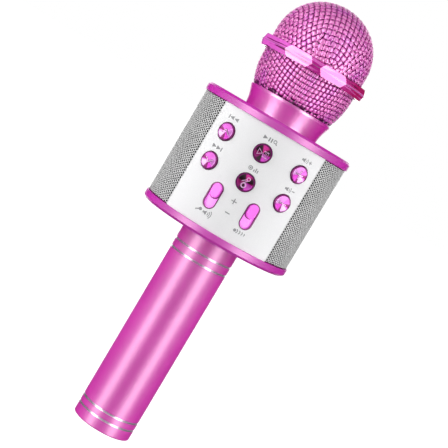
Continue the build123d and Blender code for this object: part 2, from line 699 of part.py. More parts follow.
with BuildPart() as usb_port:
    with BuildSketch(Plane.XZ.offset(-PORT_MOUTH_Y)):
        with Locations((0, USB_Z)):
            RectangleRounded(USB_SHORT, USB_LONG, 0.8)
    extrude(amount=USB_DEEP)
    with BuildSketch(Plane.XZ.offset(-PORT_MOUTH_Y)):
        with Locations((0, USB_Z)):
            RectangleRounded(USB_SHORT - 2 * USB_WALL, USB_LONG - 2 * USB_WALL, 0.5)
            Rectangle(0.7, USB_LONG - 3.2, mode=Mode.SUBTRACT)
    extrude(amount=USB_DEEP - 0.8, mode=Mode.SUBTRACT)
    with Locations(((USB_SHORT / 2 + PORT_BOARD_X) / 2, PORT_MOUTH_Y - USB_DEEP / 2, USB_Z)):
        Box(PORT_BOARD_X - USB_SHORT / 2, USB_DEEP - 1.0, USB_LONG - 1.6)
keep(usb_port.part, "usb_port")

with BuildPart() as card_slot:
    with BuildSketch(Plane.XZ.offset(-PORT_MOUTH_Y)):
        with Locations((0, CARD_Z)):
            Rectangle(CARD_SHORT, CARD_LONG)
    extrude(amount=CARD_DEEP)
    with BuildSketch(Plane.XZ.offset(-PORT_MOUTH_Y)):
        with Locations((0, CARD_Z)):
            Rectangle(1.1, CARD_LONG - 1.2)
    extrude(amount=CARD_DEEP - 1.0, mode=Mode.SUBTRACT)
    with Locations(
        ((CARD_SHORT / 2 + PORT_BOARD_X) / 2, PORT_MOUTH_Y - 1.5 - CARD_DEEP / 2, CARD_Z)
    ):
        Box(PORT_BOARD_X - CARD_SHORT / 2, CARD_DEEP - 3.0, CARD_LONG - 3.0)
keep(card_slot.part, "card_slot")

with BuildPart() as audio_jack:
    with Locations((0, PORT_MOUTH_Y - 1.7 - JACK_DEEP / 2, JACK_Z)):
        Box(JACK_BODY, JACK_DEEP, JACK_BODY + 0.6)
    with BuildSketch(Plane.XZ.offset(-PORT_MOUTH_Y + 1.7)):
        with Locations((0, JACK_Z)):
            Circle(JACK_COLLAR_R)
    extrude(amount=-(SKIN_R - PORT_MOUTH_Y + 1.6))
    with BuildSketch(Plane.XZ.offset(-SKIN_R)):
        with Locations((0, JACK_Z)):
            Circle(JACK_BORE_R)
    extrude(amount=14.0, mode=Mode.SUBTRACT)
keep(audio_jack.part, "audio_jack")

with BuildPart() as power_switch_body:
    with Locations((0.25, 34.6, POWER_Z)):
        Box(5.5, 4.0, 9.0)
keep(power_switch_body.part, "power_switch_body")

POWER_REST_Z = POWER_Z - POWER_TRAVEL / 2

with BuildPart() as power_switch_knob:
    with Locations((0, 39.2, POWER_REST_Z)):
        Box(4.4, 0.9, 2 * POWER_TRAVEL + POWER_KNOB_LENGTH + 0.6)
    with BuildSketch(Plane.XZ.offset(-36.8)):
        with Locations((0, POWER_REST_Z)):
            Rectangle(POWER_KNOB_WIDTH, POWER_KNOB_LENGTH)
    extrude(amount=-(SKIN_R + 0.55 - 36.8))
    fillet(power_switch_knob.faces().sort_by(Axis.Y)[-1].edges(), 0.3)
    with BuildSketch(Plane.YZ.offset(-POWER_KNOB_WIDTH / 2)):
        with Locations(*[(SKIN_R + 0.65, POWER_REST_Z + dz) for dz in (-0.9, 0, 0.9)]):
            Circle(0.28)
    extrude(amount=POWER_KNOB_WIDTH, mode=Mode.SUBTRACT)
keep(power_switch_knob.part, "power_switch_knob")

with BuildPart() as status_led:
    with BuildSketch(Plane.XZ.offset(-34.0)):
        with Locations((0, LED_Z)):
            Circle(LED_R)
    extrude(amount=-(SKIN_R - 34.0))
    fillet(status_led.edges().group_by(Axis.Y)[-1], 0.5)
    with Locations(((PORT_BOARD_X - 1.4) / 2, 33.0, LED_Z)):
        Box(PORT_BOARD_X + 1.4, 2.2, 2.8)
keep(status_led.part, "status_led")

# ================================================================ neck and capsule

with BuildPart() as neck_collar:
    lip_bottom = NECK_TOP - NECK_LIP_TALL
    with BuildSketch(Plane.XZ):
        with BuildLine():
            Polyline((POST_BORE_R + 0.4, LID_Z), (NECK_R, LID_Z), (NECK_R, LID_Z + 0.8))
            ThreePointArc(
                (NECK_R, LID_Z + 0.8),
                (NECK_R + 0.75, LID_Z + 5.2),
                (NECK_LIP_R, lip_bottom),
            )
            Polyline(
                (NECK_LIP_R, lip_bottom),
                (NECK_LIP_R, NECK_TOP - 0.3),
                (NECK_LIP_R - 0.3, NECK_TOP),
                (NECK_LIP_R - 0.45, NECK_TOP),
                (NECK_SEAT_R, NECK_SEAT_Z),
                (NECK_BORE_R, NECK_SEAT_Z),
                (NECK_BORE_R, LID_Z + NECK_FLOOR),
                (POST_BORE_R + 0.4, LID_Z + NECK_FLOOR),
                (POST_BORE_R + 0.4, LID_Z),
            )
        make_face()
    revolve(axis=Axis.Z)
    with BuildSketch(Plane.XY.offset(LID_Z)):
        with PolarLocations(NECK_SCREW_RADIUS, 3, start_angle=90):
            Circle(SCREW_PILOT_R)
    extrude(amount=NECK_FLOOR - 0.4, mode=Mode.SUBTRACT)
keep(neck_collar.part, "neck_collar")

with BuildPart() as capsule_post:
    foot = LID_Z + NECK_FLOOR
    with BuildSketch(Plane.XZ):
        with BuildLine():
            Polyline(
                (POST_BORE_R, foot),
                (9.0, foot),
                (9.0, foot + 2.0),
                (POST_TUBE_R, foot + 3.5),
                (POST_TUBE_R, POST_DECK - 4.0),
                (POST_CUP_R, POST_DECK - 1.0),
                (POST_CUP_R, POST_DECK + 4.0),
                (BOOT_R + CLEARANCE, POST_DECK + 4.0),
                (BOOT_R + CLEARANCE, POST_DECK),
                (POST_BORE_R, POST_DECK),
                close=True,
            )
        make_face()
    revolve(axis=Axis.Z)
keep(capsule_post.part, "capsule_post")

with BuildPart() as capsule_boot:
    with BuildSketch(Plane.XZ):
        with BuildLine():
            Polyline(
                (CAPSULE_R + 0.05, POST_DECK + CLEARANCE),
                (BOOT_R, POST_DECK + CLEARANCE),
                (BOOT_R, CAPSULE_TOP + 0.9),
                (BOOT_R - 0.5, CAPSULE_TOP + 1.3),
                (CAPSULE_R - 0.8, CAPSULE_TOP + 1.0),
                (CAPSULE_R - 0.8, CAPSULE_TOP + 0.05),
                (CAPSULE_R + 0.05, CAPSULE_TOP + 0.05),
                close=True,
            )
        make_face()
    revolve(axis=Axis.Z)
keep(capsule_boot.part, "capsule_boot")

with BuildPart() as mic_capsule:
    with BuildSketch(Plane.XY.offset(CAPSULE_BOTTOM)):
        Circle(CAPSULE_R)
    extrude(amount=CAPSULE_TOP - CAPSULE_BOTTOM)
    fillet(mic_capsule.edges().group_by(Axis.Z)[-1], 0.4)
    with BuildSketch(Plane.XY.offset(CAPSULE_TOP)):
        Circle(0.6)
        with PolarLocations(3.4, 6):
            Circle(0.6)
        with PolarLocations(5.9, 12):
            Circle(0.6)
    extrude(amount=-1.0, mode=Mode.SUBTRACT)
keep(mic_capsule.part, "mic_capsule")

# ================================================================ head

BOWL_CENTRE_R = BOWL_R - BOWL_ARC_R


def bowl_radius(height, inset=0.0):
    """The bowl's radius at a height, on its outside or so far in."""
    return BOWL_CENTRE_R + sqrt((BOWL_ARC_R - inset) ** 2 - (BOWL_ARC_Z - height) ** 2)


with BuildPart() as head_base:
    with BuildSketch(Plane.XZ):
        with BuildLine():
            Polyline(
                (15.5, LID_Z + NECK_FLOOR + 0.2),
                (NECK_BORE_R - 0.15, LID_Z + NECK_FLOOR + 0.2),
                (NECK_BORE_R - 0.15, NECK_SEAT_Z + CLEARANCE),
                (NECK_SEAT_R - 0.25, NECK_SEAT_Z + CLEARANCE),
                (NECK_SEAT_R - 0.25, BOWL_BOTTOM),
                (19.0, BOWL_BOTTOM),
                (19.0, BOWL_BOTTOM + 1.5),
                (15.5, BOWL_BOTTOM + 1.5),
                close=True,
            )
        make_face()
    revolve(axis=Axis.Z)
keep(head_base.part, "head_base")

with BuildPart() as mesh_bowl:
    with BuildSketch(Plane.XZ):
        with BuildLine():
            outer = [(bowl_radius(z), z) for z in (BOWL_BOTTOM, 201.0, BOWL_ARC_Z)]
            inner = [
                (bowl_radius(z, MESH_THICK), z) for z in (BOWL_BOTTOM, 201.0, BOWL_ARC_Z)
            ]
            ThreePointArc(*outer)
            Polyline(
                outer[-1],
                (BOWL_R + 0.1, BOWL_TOP),
                (BOWL_R + 0.1 - MESH_THICK, BOWL_TOP),
                inner[-1],
            )
            ThreePointArc(*inner)
            Line(inner[0], outer[0])
        make_face()
    revolve(axis=Axis.Z)
keep(mesh_bowl.part, "mesh_bowl")

with BuildPart() as mesh_dome:
    with BuildSketch(Plane.XZ):
        with BuildLine():
            Line((0, TOTAL_HEIGHT), (0, TOTAL_HEIGHT - MESH_THICK))
            CenterArc((0, DOME_Z), DOME_R - MESH_THICK, 0, 90)
            Polyline(
                (DOME_R - MESH_THICK, DOME_Z),
                (DOME_SKIRT_R - MESH_THICK, DOME_BOTTOM + 3.0),
                (DOME_SKIRT_R - MESH_THICK, DOME_BOTTOM),
                (DOME_SKIRT_R, DOME_BOTTOM),
                (DOME_SKIRT_R, DOME_BOTTOM + 3.0),
                (DOME_R, DOME_Z),
            )
            CenterArc((0, DOME_Z), DOME_R, 0, 90)
        make_face()
    revolve(axis=Axis.Z)
keep(mesh_dome.part, "mesh_dome")

# Nine flats, each folded at mid-height, cut into a ring with a shallow double cone outside.
# Two of the flats face forwards, with a narrow piece of the cone left between them.
with BuildPart() as grille_ring:
    for height, flat in (
        (RING_Z - RING_HALF, RING_FLAT_EDGE),
        (RING_Z, RING_FLAT),
        (RING_Z + RING_HALF, RING_FLAT_EDGE),
    ):
        corner_r = flat / cos(radians(180 / RING_SIDES))
        turns = [radians(RING_TURN + 360 / RING_SIDES * k) for k in range(RING_SIDES)]
        with BuildSketch(Plane.XY.offset(height)):
            with BuildLine():
                Polyline(*[(corner_r * sin(a), -corner_r * cos(a)) for a in turns], close=True)
            make_face()
    loft(ruled=True)
    with BuildSketch(Plane.XZ):
        with BuildLine():
            Polyline(
                (RING_BORE_R, RING_Z - RING_HALF),
                (RING_POINT_EDGE_R, RING_Z - RING_HALF),
                (RING_POINT_R, RING_Z),
                (RING_POINT_EDGE_R, RING_Z + RING_HALF),
                (RING_BORE_R, RING_Z + RING_HALF),
                close=True,
            )
        make_face()
    revolve(axis=Axis.Z, mode=Mode.INTERSECT)
keep(grille_ring.part, "grille_ring")

with BuildPart() as crimp_band:
    with BuildSketch(Plane.XY.offset(RING_Z - BAND_HALF)):
        Circle(BAND_R)
        Circle(BAND_R - BAND_THICK, mode=Mode.SUBTRACT)
    extrude(amount=2 * BAND_HALF)
keep(crimp_band.part, "crimp_band")

with BuildPart() as foam_liner:
    shoulder = 207.0
    with BuildSketch(Plane.XZ):
        with BuildLine():
            CenterArc((0, DOME_Z), FOAM_R, 0, 90)
            Polyline(
                (FOAM_R, DOME_Z),
                (FOAM_R, shoulder),
                (21.4, FOAM_BOTTOM),
                (21.4 - FOAM_THICK, FOAM_BOTTOM),
                (FOAM_R - FOAM_THICK, shoulder),
                (FOAM_R - FOAM_THICK, DOME_Z),
            )
            CenterArc((0, DOME_Z), FOAM_R - FOAM_THICK, 0, 90)
            Line((0, DOME_Z + FOAM_R - FOAM_THICK), (0, DOME_Z + FOAM_R))
        make_face()
    revolve(axis=Axis.Z)
keep(foam_liner.part, "foam_liner")

# ================================================================ fasteners


def screw(length):
    """A pan-head screw with a cross recess, standing on the origin with its shank along +Z."""
    with BuildPart() as one:
        with BuildSketch(Plane.XY.offset(-SCREW_HEAD_TALL)):
            Circle(SCREW_HEAD_R)
        extrude(amount=SCREW_HEAD_TALL)
        fillet(one.edges().group_by(Axis.Z)[0], 0.35)
        with BuildSketch():
            Circle(SCREW_R)
        extrude(amount=length)
        chamfer(one.edges().group_by(Axis.Z)[-1], 0.4)
        with BuildSketch(Plane.XY.offset(-SCREW_HEAD_TALL)):
            Rectangle(2.0, 0.5)
            Rectangle(0.5, 2.0)
        extrude(amount=0.6, mode=Mode.SUBTRACT)
    return one.part


with BuildPart() as cover_screws:
    seat = BASE_Z + 1.2
    for x, y, _ in at_lugs(0):
        with Locations((x, y, seat)):
            add(screw(5.8))
        with Locations((x, y, LUG_TOP_Z)):
            add(screw(7.0))
keep(cover_screws.part, "cover_screws")

with BuildPart() as neck_screws:
    with PolarLocations(NECK_SCREW_RADIUS, 3, start_angle=90):
        with Locations((0, 0, LID_Z - COVER_PLATE)):
            add(screw(3.8))
keep(neck_screws.part, "neck_screws")

with BuildPart() as board_screws:
    for x in (-POST_X, POST_X):
        for z in POST_ROWS:
            with Locations(Location((x, BOARD_BACK_Y, z), (90, 0, 0))):
                add(screw(5.8))
    for z in (132.0, 168.0):
        with Locations(Location((PORT_BOARD_X, 22.5, z), (0, 90, 0))):
            add(screw(3.4))
keep(board_screws.part, "board_screws")

# ================================================================ inner wires


def wire(points, diameter):
    """A wire along straight runs joined by tangent arcs, as large as the runs allow."""
    corners = [Vector(*p) for p in points]
    radii = []
    for before, here, after in zip(corners, corners[1:], corners[2:]):
        turn = (here - before).get_angle(after - here)
        shorter = min((here - before).length, (after - here).length)
        radii.append(0.45 * shorter / abs(sin(radians(turn / 2)) / cos(radians(turn / 2))))
    with BuildPart() as lead:
        with BuildLine() as route:
            FilletPolyline(*points, radius=radii)
        with BuildSketch(Plane(route.line @ 0, z_dir=route.line % 0)):
            Circle(diameter / 2)
        sweep()
    return lead.part


with BuildPart() as mic_lead:
    add(
        wire(
            [
                (0, 0, CAPSULE_BOTTOM - CLEARANCE),
                (0, 0, 197.0),
                (0, 0.5, 180.0),
                (0, -4.0, 166.0),
                (0, -12.0, 156.0),
                (0, BOARD_BACK_Y + CLEARANCE, 156.0),
            ],
            2.2,
        )
    )
keep(mic_lead.part, "mic_lead")

with BuildPart() as battery_leads:
    for x in (-3.0, 3.0):
        add(
            wire(
                [
                    (x, 6.0, HOLDER_DECK + CLEARANCE),
                    (x, 6.0, 104.0),
                    (x, 4.0, 120.0),
                    (x, -8.0, 129.0),
                    (x, BOARD_BACK_Y + CLEARANCE, 129.0),
                ],
                1.4,
            )
        )
keep(battery_leads.part, "battery_leads")

with BuildPart() as speaker_leads:
    for side in (-1, 1):
        for offset in (-1.5, 1.5):
            add(
                wire(
                    [
                        (side * 16.5, -12.2, SPEAKER_Z + offset),
                        (side * 16.5, -15.6, SPEAKER_Z + offset),
                        (side * 19.5, -18.2, SPEAKER_Z + offset),
                        (side * 19.5, BOARD_BACK_Y + CLEARANCE, SPEAKER_Z + offset),
                    ],
                    1.2,
                )
            )
keep(speaker_leads.part, "speaker_leads")

# ================================================================ write the files

os.makedirs("parts", exist_ok=True)
for piece in finished:
    export_step(piece, f"parts/{piece.label}.step")
print(len(finished), "pieces")
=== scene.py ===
import json
import math

import bmesh
import bpy
import numpy as np
from mathutils import Matrix, Vector
from mathutils.geometry import tessellate_polygon


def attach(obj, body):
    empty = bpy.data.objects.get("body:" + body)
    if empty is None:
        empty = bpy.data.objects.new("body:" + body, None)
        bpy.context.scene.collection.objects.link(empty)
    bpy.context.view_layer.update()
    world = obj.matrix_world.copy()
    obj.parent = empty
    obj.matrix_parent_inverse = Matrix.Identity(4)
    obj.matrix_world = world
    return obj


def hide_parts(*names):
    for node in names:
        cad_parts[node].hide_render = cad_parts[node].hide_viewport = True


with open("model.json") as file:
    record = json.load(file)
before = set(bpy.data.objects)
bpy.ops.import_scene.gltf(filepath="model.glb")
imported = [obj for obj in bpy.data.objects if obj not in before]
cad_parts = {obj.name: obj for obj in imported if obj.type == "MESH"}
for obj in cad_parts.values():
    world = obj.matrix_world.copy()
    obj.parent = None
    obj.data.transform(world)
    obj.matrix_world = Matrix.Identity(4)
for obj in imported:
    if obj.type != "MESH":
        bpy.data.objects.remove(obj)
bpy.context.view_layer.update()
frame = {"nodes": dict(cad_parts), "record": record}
nodes = frame["nodes"]
scene = bpy.context.scene
MM = 0.001  # sizes are written in millimetres and built in metres

# ---------------------------------------------------------------- camera


def look_from(eye, target, roll):
    """The matrix of a camera at eye that looks at target, rolled about its own axis."""
    back = (Vector(eye) - Vector(target)).normalized()
    side = Vector((0, 0, 1)).cross(back).normalized()
    up = back.cross(side)
    facing = Matrix((side, up, back)).transposed() @ Matrix.Rotation(roll, 3, "Z")
    return Matrix.Translation(eye) @ facing.to_4x4()


camera_data = bpy.data.cameras.new("camera")
camera_data.lens = 108.5
camera_data.sensor_width = 36.0
camera = bpy.data.objects.new("camera", camera_data)
scene.collection.objects.link(camera)
camera.matrix_world = look_from((-0.0035, -0.699, 0.17925), (0.0017, 0, 0.12385), math.radians(30.7))
scene.camera = camera
scene.view_settings.view_transform = "Standard"

# ---------------------------------------------------------------- material helpers


class Look:
    """A material built of nodes round one Principled shader."""

    def __init__(self, name, color, roughness, metallic=0.0, **sockets):
        self.material = bpy.data.materials.new(name)
        self.material.use_nodes = True
        self.tree = self.material.node_tree
        self.shader = self.tree.nodes["Principled BSDF"]
        self.shader.inputs["Base Color"].default_value = (*color, 1)
        self.shader.inputs["Roughness"].default_value = roughness
        self.shader.inputs["Metallic"].default_value = metallic
        for socket, value in sockets.items():
            self.shader.inputs[socket.replace("_", " ")].default_value = value
        self.place = self.add("ShaderNodeTexCoord").outputs["Object"]

    def add(self, kind, **settings):
        node = self.tree.nodes.new(kind)
        for key, value in settings.items():
            setattr(node, key, value)
        return node

    def link(self, output, target):
        self.tree.links.new(output, target)

    def math(self, operation, a, b=None, c=None):
        """A maths node's output, from numbers or other nodes' outputs."""
        node = self.add("ShaderNodeMath", operation=operation)
        for socket, value in zip(node.inputs, (a, b, c)):
            if value is None:
                continue
            if isinstance(value, (int, float)):
                socket.default_value = value
            else:
                self.link(value, socket)
        return node.outputs[0]

    def noise(self, scale, detail=3.0, place=None):
        node = self.add("ShaderNodeTexNoise")
        node.inputs["Scale"].default_value = scale
        node.inputs["Detail"].default_value = detail
        self.link(place or self.place, node.inputs["Vector"])
        return node.outputs["Fac"]

    def ramp(self, value, *stops):
        """Colours by value, from stops of (position, colour)."""
        node = self.add("ShaderNodeValToRGB")
        ramp = node.color_ramp
        while len(ramp.elements) < len(stops):
            ramp.elements.new(0.5)
        for element, (position, color) in zip(ramp.elements, stops):
            element.position = position
            element.color = (*color, 1)
        self.link(value, node.inputs["Fac"])
        return node.outputs["Color"]

    def mix(self, factor, first, second):
        node = self.add("ShaderNodeMix", data_type="RGBA")
        self.link(factor, node.inputs["Factor"])
        for name, value in (("A", first), ("B", second)):
            socket = [s for s in node.inputs if s.name == name and s.type == "RGBA"][0]
            if isinstance(value, tuple):
                socket.default_value = (*value, 1)
            else:
                self.link(value, socket)
        return [s for s in node.outputs if s.type == "RGBA"][0]

    def color(self, output):
        """Makes an output the base colour."""
        self.link(output, self.shader.inputs["Base Color"])
        return self

    def vary(self, value, low, high, socket="Roughness"):
        """Lets a value from 0 to 1 carry a socket from low to high."""
        node = self.add("ShaderNodeMapRange")
        node.inputs["To Min"].default_value = low
        node.inputs["To Max"].default_value = high
        self.link(value, node.inputs["Value"])
        self.link(node.outputs["Result"], self.shader.inputs[socket])
        return self

    def bump(self, height, depth, strength=1.0):
        """Adds relief, depth metres deep, over any that is there."""
        node = self.add("ShaderNodeBump")
        node.inputs["Strength"].default_value = strength
        node.inputs["Distance"].default_value = depth
        self.link(height, node.inputs["Height"])
        previous = self.shader.inputs["Normal"].links
        if previous:
            self.link(previous[0].from_socket, node.inputs["Normal"])
        self.link(node.outputs["Normal"], self.shader.inputs["Normal"])
        return self


def lacquer(name, dark, light, roughness, metallic=1.0, grain=0.000004, **sockets):
    """Metallic lacquer: flake-fine bump, and a slow drift of tone from pooling."""
    look = Look(name, light, roughness, metallic, **sockets)
    drift = look.noise(35, 2)
    look.color(look.ramp(drift, (0.35, dark), (0.65, light)))
    look.vary(look.noise(260, 4), roughness * 0.85, roughness * 1.15)
    look.bump(look.noise(2600, 2), grain, 0.5)
    return look


def moulded(name, color, roughness=0.5, grain=0.00002, scale=900, **sockets):
    """Moulded plastic or rubber: a fine pebble grain and slight tone drift."""
    look = Look(name, color, roughness, **sockets)
    lighter = tuple(min(1, c * 1.15 + 0.004) for c in color)
    look.color(look.ramp(look.noise(60, 2), (0.3, color), (0.7, lighter)))
    look.vary(look.noise(300, 4), roughness * 0.85, min(1, roughness * 1.15))
    look.bump(look.noise(scale, 3), grain, 0.6)
    return look


def bare_metal(name, color, roughness=0.3, stretch=(1, 1, 14)):
    """Plain metal with drawn lines along one axis."""
    look = Look(name, color, roughness, 1.0)
    mapping = look.add("ShaderNodeMapping")
    mapping.inputs["Scale"].default_value = stretch
    look.link(look.place, mapping.inputs["Vector"])
    lines = look.noise(500, 3, mapping.outputs["Vector"])
    darker = tuple(c * 0.8 for c in color)
    look.color(look.ramp(lines, (0.3, darker), (0.7, color)))
    look.vary(lines, roughness * 0.8, roughness * 1.25)
    look.bump(lines, 0.000006, 0.5)
    return look


def turned(look):
    """Gives a look the fine circular lines of a part that was turned about its Z axis."""
    look.shader.inputs["Anisotropic Rotation"].default_value = 0.25
    tangent = look.add("ShaderNodeTangent", direction_type="RADIAL", axis="Z")
    look.link(tangent.outputs["Tangent"], look.shader.inputs["Tangent"])


# ---------------------------------------------------------------- materials

rim_look = lacquer(
    "metallic_pink_lacquer", (0.56, 0.006, 0.40), (0.64, 0.010, 0.47), 0.4, 0.0,
    IOR=1.55, Coat_Weight=1.0, Coat_IOR=1.54, Coat_Roughness=0.36,
)
neck_look = lacquer(
    "metallic_pink_neck", (0.72, 0.003, 0.46), (0.80, 0.005, 0.53), 0.46, 0.1,
    IOR=3.4, Coat_Weight=0.6, Coat_IOR=2.0, Coat_Roughness=0.3, Anisotropic=0.85,
)
turned(neck_look)

# the plated ring, with painted light: hot pink on the lit left to wine red on the shaded right, streaked, and a
# grey-mauve line painted along the ridge for its fillet's reflection
RIDGE_Z, RIDGE_HALF = 216.5, 0.14
ring_look = lacquer(
    "plated_pink_ring", (0.52, 0.010, 0.40), (0.58, 0.016, 0.46), 0.25, 0.2,
    IOR=1.6, Coat_Weight=1.0, Coat_IOR=1.48, Coat_Roughness=0.1,
)
stretched = ring_look.add("ShaderNodeMapping")
stretched.inputs["Scale"].default_value = (0.35, 0.35, 7)
ring_look.link(ring_look.place, stretched.inputs["Vector"])
streaks = ring_look.noise(80, 2, stretched.outputs["Vector"])
across = ring_look.add("ShaderNodeSeparateXYZ")
ring_look.link(ring_look.place, across.inputs[0])
# painted light: the ring's colour runs by X from lit on the left to shaded on the right
side = ring_look.math("MULTIPLY_ADD", across.outputs["X"], 16.0, 0.5)
LIT_LEFT_PLATE, MIDDLE_PLATE, SHADED_RIGHT_PLATE = (1.0, 0.14, 0.80), (0.60, 0.010, 0.33), (0.52, 0.002, 0.14)
plate_light = ring_look.ramp(
    side, (0.22, LIT_LEFT_PLATE), (0.42, MIDDLE_PLATE), (0.56, MIDDLE_PLATE), (0.72, (0.62, 0.02, 0.38)), (0.9, SHADED_RIGHT_PLATE)
)
streak_dark = ring_look.ramp(streaks, (0.35, (0.9, 0.9, 0.9)), (0.39, (0, 0, 0)))
streak_pale = ring_look.ramp(streaks, (0.55, (0, 0, 0)), (0.60, (0.8, 0.8, 0.8)))
plate_light = ring_look.mix(streak_dark, plate_light, (0.16, 0.002, 0.07))
plate_light = ring_look.mix(streak_pale, plate_light, (1.0, 0.20, 0.75))
# painted reflection: a grey-mauve band with less coat along the ridge, for the way its small fillet reflects
ridge_reflection = ring_look.math("COMPARE", across.outputs["Z"], RIDGE_Z * MM, RIDGE_HALF * MM)
ring_look.color(ring_look.mix(ridge_reflection, plate_light, (0.34, 0.16, 0.30)))
ring_look.link(ring_look.math("MULTIPLY_ADD", ridge_reflection, -0.7, 1.0), ring_look.shader.inputs["Coat Weight"])

# painted shade and highlight on the wire's pink: dark where a wire dives under its neighbours, bright on the crowns of
# the weave
wire_look = lacquer(
    "painted_pink_wire", (0.7, 0.1, 0.4), (0.8, 0.2, 0.5), 0.36, 0.2,
    Coat_Weight=0.8, Coat_IOR=1.5, Coat_Roughness=0.16,
)
tone = wire_look.add("ShaderNodeAttribute", attribute_type="GEOMETRY", attribute_name="tone").outputs["Fac"]
DIVE, LOW, HIGH, CROWN = 0.59, 0.72, 0.87, 1.0
pink = wire_look.ramp(
    tone, (DIVE, (0.12, 0.003, 0.08)), (LOW, (0.54, 0.05, 0.36)), (HIGH, (0.84, 0.17, 0.58)), (CROWN, (1.0, 0.35, 0.76))
)
mauve = wire_look.ramp(
    tone, (DIVE, (0.1, 0.003, 0.09)), (LOW, (0.46, 0.03, 0.38)), (HIGH, (0.75, 0.11, 0.62)), (CROWN, (0.94, 0.32, 0.86))
)
drift = wire_look.math("MULTIPLY_ADD", wire_look.noise(110, 3), 4.0, -2.0)
wire_look.color(wire_look.mix(wire_look.math("MINIMUM", wire_look.math("MAXIMUM", drift, 0.0), 1.0), pink, mauve))

# satin anodised handle, with bare aluminium where the grooves are cut
GROOVE_HEIGHTS, GROOVE_HALF = (6.25, 10.55, 100.95, 105.8), 0.58
handle_look = lacquer(
    "anodised_pink_handle", (0.68, 0.020, 0.43), (0.74, 0.027, 0.47), 0.38, 0.0,
    IOR=1.6, Coat_Weight=1.0, Coat_IOR=1.66, Coat_Roughness=0.36,
)
cross = handle_look.add("ShaderNodeSeparateXYZ")
handle_look.link(handle_look.place, cross.inputs[0])
cut = None
for height in GROOVE_HEIGHTS:
    band = handle_look.math("COMPARE", cross.outputs["Z"], height * MM, GROOVE_HALF * MM)
    cut = band if cut is None else handle_look.math("ADD", cut, band)
anodised = handle_look.shader.inputs["Base Color"].links[0].from_socket
handle_look.color(handle_look.mix(cut, anodised, (0.93, 0.78, 0.91)))
handle_look.link(handle_look.math("MULTIPLY", cut, 0.85), handle_look.shader.inputs["Metallic"])
handle_look.link(handle_look.math("MULTIPLY_ADD", cut, -0.9, 1.0), handle_look.shader.inputs["Coat Weight"])
handle_look.link(handle_look.math("MULTIPLY", cut, 0.92), handle_look.shader.inputs["Anisotropic"])
turned(handle_look)

panel_look = Look("silver_panel_lacquer", (0.82, 0.82, 0.83), 0.65, 0.0, IOR=1.3)
panel_look.color(panel_look.ramp(panel_look.noise(4200, 1), (0.3, (0.88, 0.88, 0.89)), (0.7, (0.94, 0.94, 0.95))))
panel_look.bump(panel_look.noise(3000, 2), 0.000006, 0.4)

grille_look = moulded("perforated_grille_steel", (0.64, 0.64, 0.64), 0.5, 0.000004, 600, Metallic=0.2)
cloth_look = Look("black_speaker_cloth", (0.006, 0.006, 0.007), 0.95, Sheen_Weight=0.2)
weave = cloth_look.add("ShaderNodeTexChecker")
weave.inputs["Scale"].default_value = 3000
cloth_look.link(cloth_look.place, weave.inputs["Vector"])
cloth_look.bump(weave.outputs["Fac"], 0.0001, 0.8)

foam_look = Look("dark_open_foam", (0.05, 0.008, 0.03), 0.95)
cells = foam_look.add("ShaderNodeTexVoronoi")
cells.inputs["Scale"].default_value = 900
foam_look.link(foam_look.place, cells.inputs["Vector"])
foam_look.color(foam_look.ramp(cells.outputs["Distance"], (0.1, (0.015, 0.002, 0.01)), (0.6, (0.10, 0.012, 0.06))))
foam_look.bump(cells.outputs["Distance"], 0.0003, 0.9)


def spun(name, roughness, *stops):
    """Metal turned on its face: its fine rings stretch each light into a cone across the disc, and painted reflections
    add light and dark wedges by angle to its colour.
    """
    look = Look(name, stops[0][1], roughness, 0.4, Anisotropic=0.9)
    rings = look.add("ShaderNodeUVMap", uv_map="turning")
    parts = look.add("ShaderNodeSeparateXYZ")
    look.link(rings.outputs["UV"], parts.inputs[0])
    lines = look.add("ShaderNodeTexNoise", noise_dimensions="1D")
    lines.inputs["Scale"].default_value = 90
    look.link(parts.outputs["Y"], lines.inputs["W"])
    sheen = look.ramp(parts.outputs["X"], *stops)
    worn = look.add("ShaderNodeMix", data_type="RGBA", blend_type="MULTIPLY")
    worn.inputs["Factor"].default_value = 0.2
    first, second = [socket for socket in worn.inputs if socket.type == "RGBA"]
    look.link(sheen, first)
    look.link(lines.outputs["Fac"], second)
    look.color([socket for socket in worn.outputs if socket.type == "RGBA"][0])
    tangent = look.add("ShaderNodeTangent", direction_type="UV_MAP", uv_map="turning")
    look.link(tangent.outputs["Tangent"], look.shader.inputs["Tangent"])
    return look


PALE, SOFT, MID, HOT = (1.0, 0.48, 1.0), (0.85, 0.28, 0.82), (0.70, 0.12, 0.62), (0.72, 0.04, 0.60)
DEEP, WINE, BLACK = (0.20, 0.002, 0.11), (0.40, 0.005, 0.16), (0.02, 0.001, 0.01)
RED, PLUM = (0.62, 0.01, 0.28), (0.30, 0.003, 0.17)
# painted reflections: the light and dark wedges, by the share of a turn at which each begins or ends
spun_left = spun(
    "spun_pink_metal", 0.4, (0.0, SOFT), (0.1, SOFT), (0.16, MID), (0.4, MID), (0.45, DEEP), (0.5, DEEP),
    (0.53, MID), (0.57, PALE), (0.69, PALE), (0.725, DEEP), (0.79, DEEP), (0.82, HOT), (0.9, HOT), (0.95, SOFT),
)
spun_right = spun(
    "spun_pink_metal_right", 0.4, (0.0, DEEP), (0.04, DEEP), (0.07, MID), (0.17, MID), (0.22, SOFT), (0.4, SOFT),
    (0.46, PALE), (0.53, PALE), (0.57, HOT), (0.7, HOT), (0.735, DEEP), (0.765, DEEP), (0.79, PALE), (0.92, PALE),
    (0.955, HOT), (0.985, DEEP),
)
spun_dark = spun(
    "spun_dark_metal", 0.35, (0.0, WINE), (0.04, BLACK), (0.13, BLACK), (0.17, WINE), (0.21, RED), (0.29, RED),
    (0.33, BLACK), (0.48, BLACK), (0.53, WINE), (0.64, PLUM), (0.69, BLACK), (0.77, BLACK), (0.81, HOT), (0.93, MID),
    (0.97, HOT),
)
cap_look = lacquer("dark_pink_button_rim", (0.16, 0.004, 0.11), (0.22, 0.006, 0.15), 0.3, 0.3)
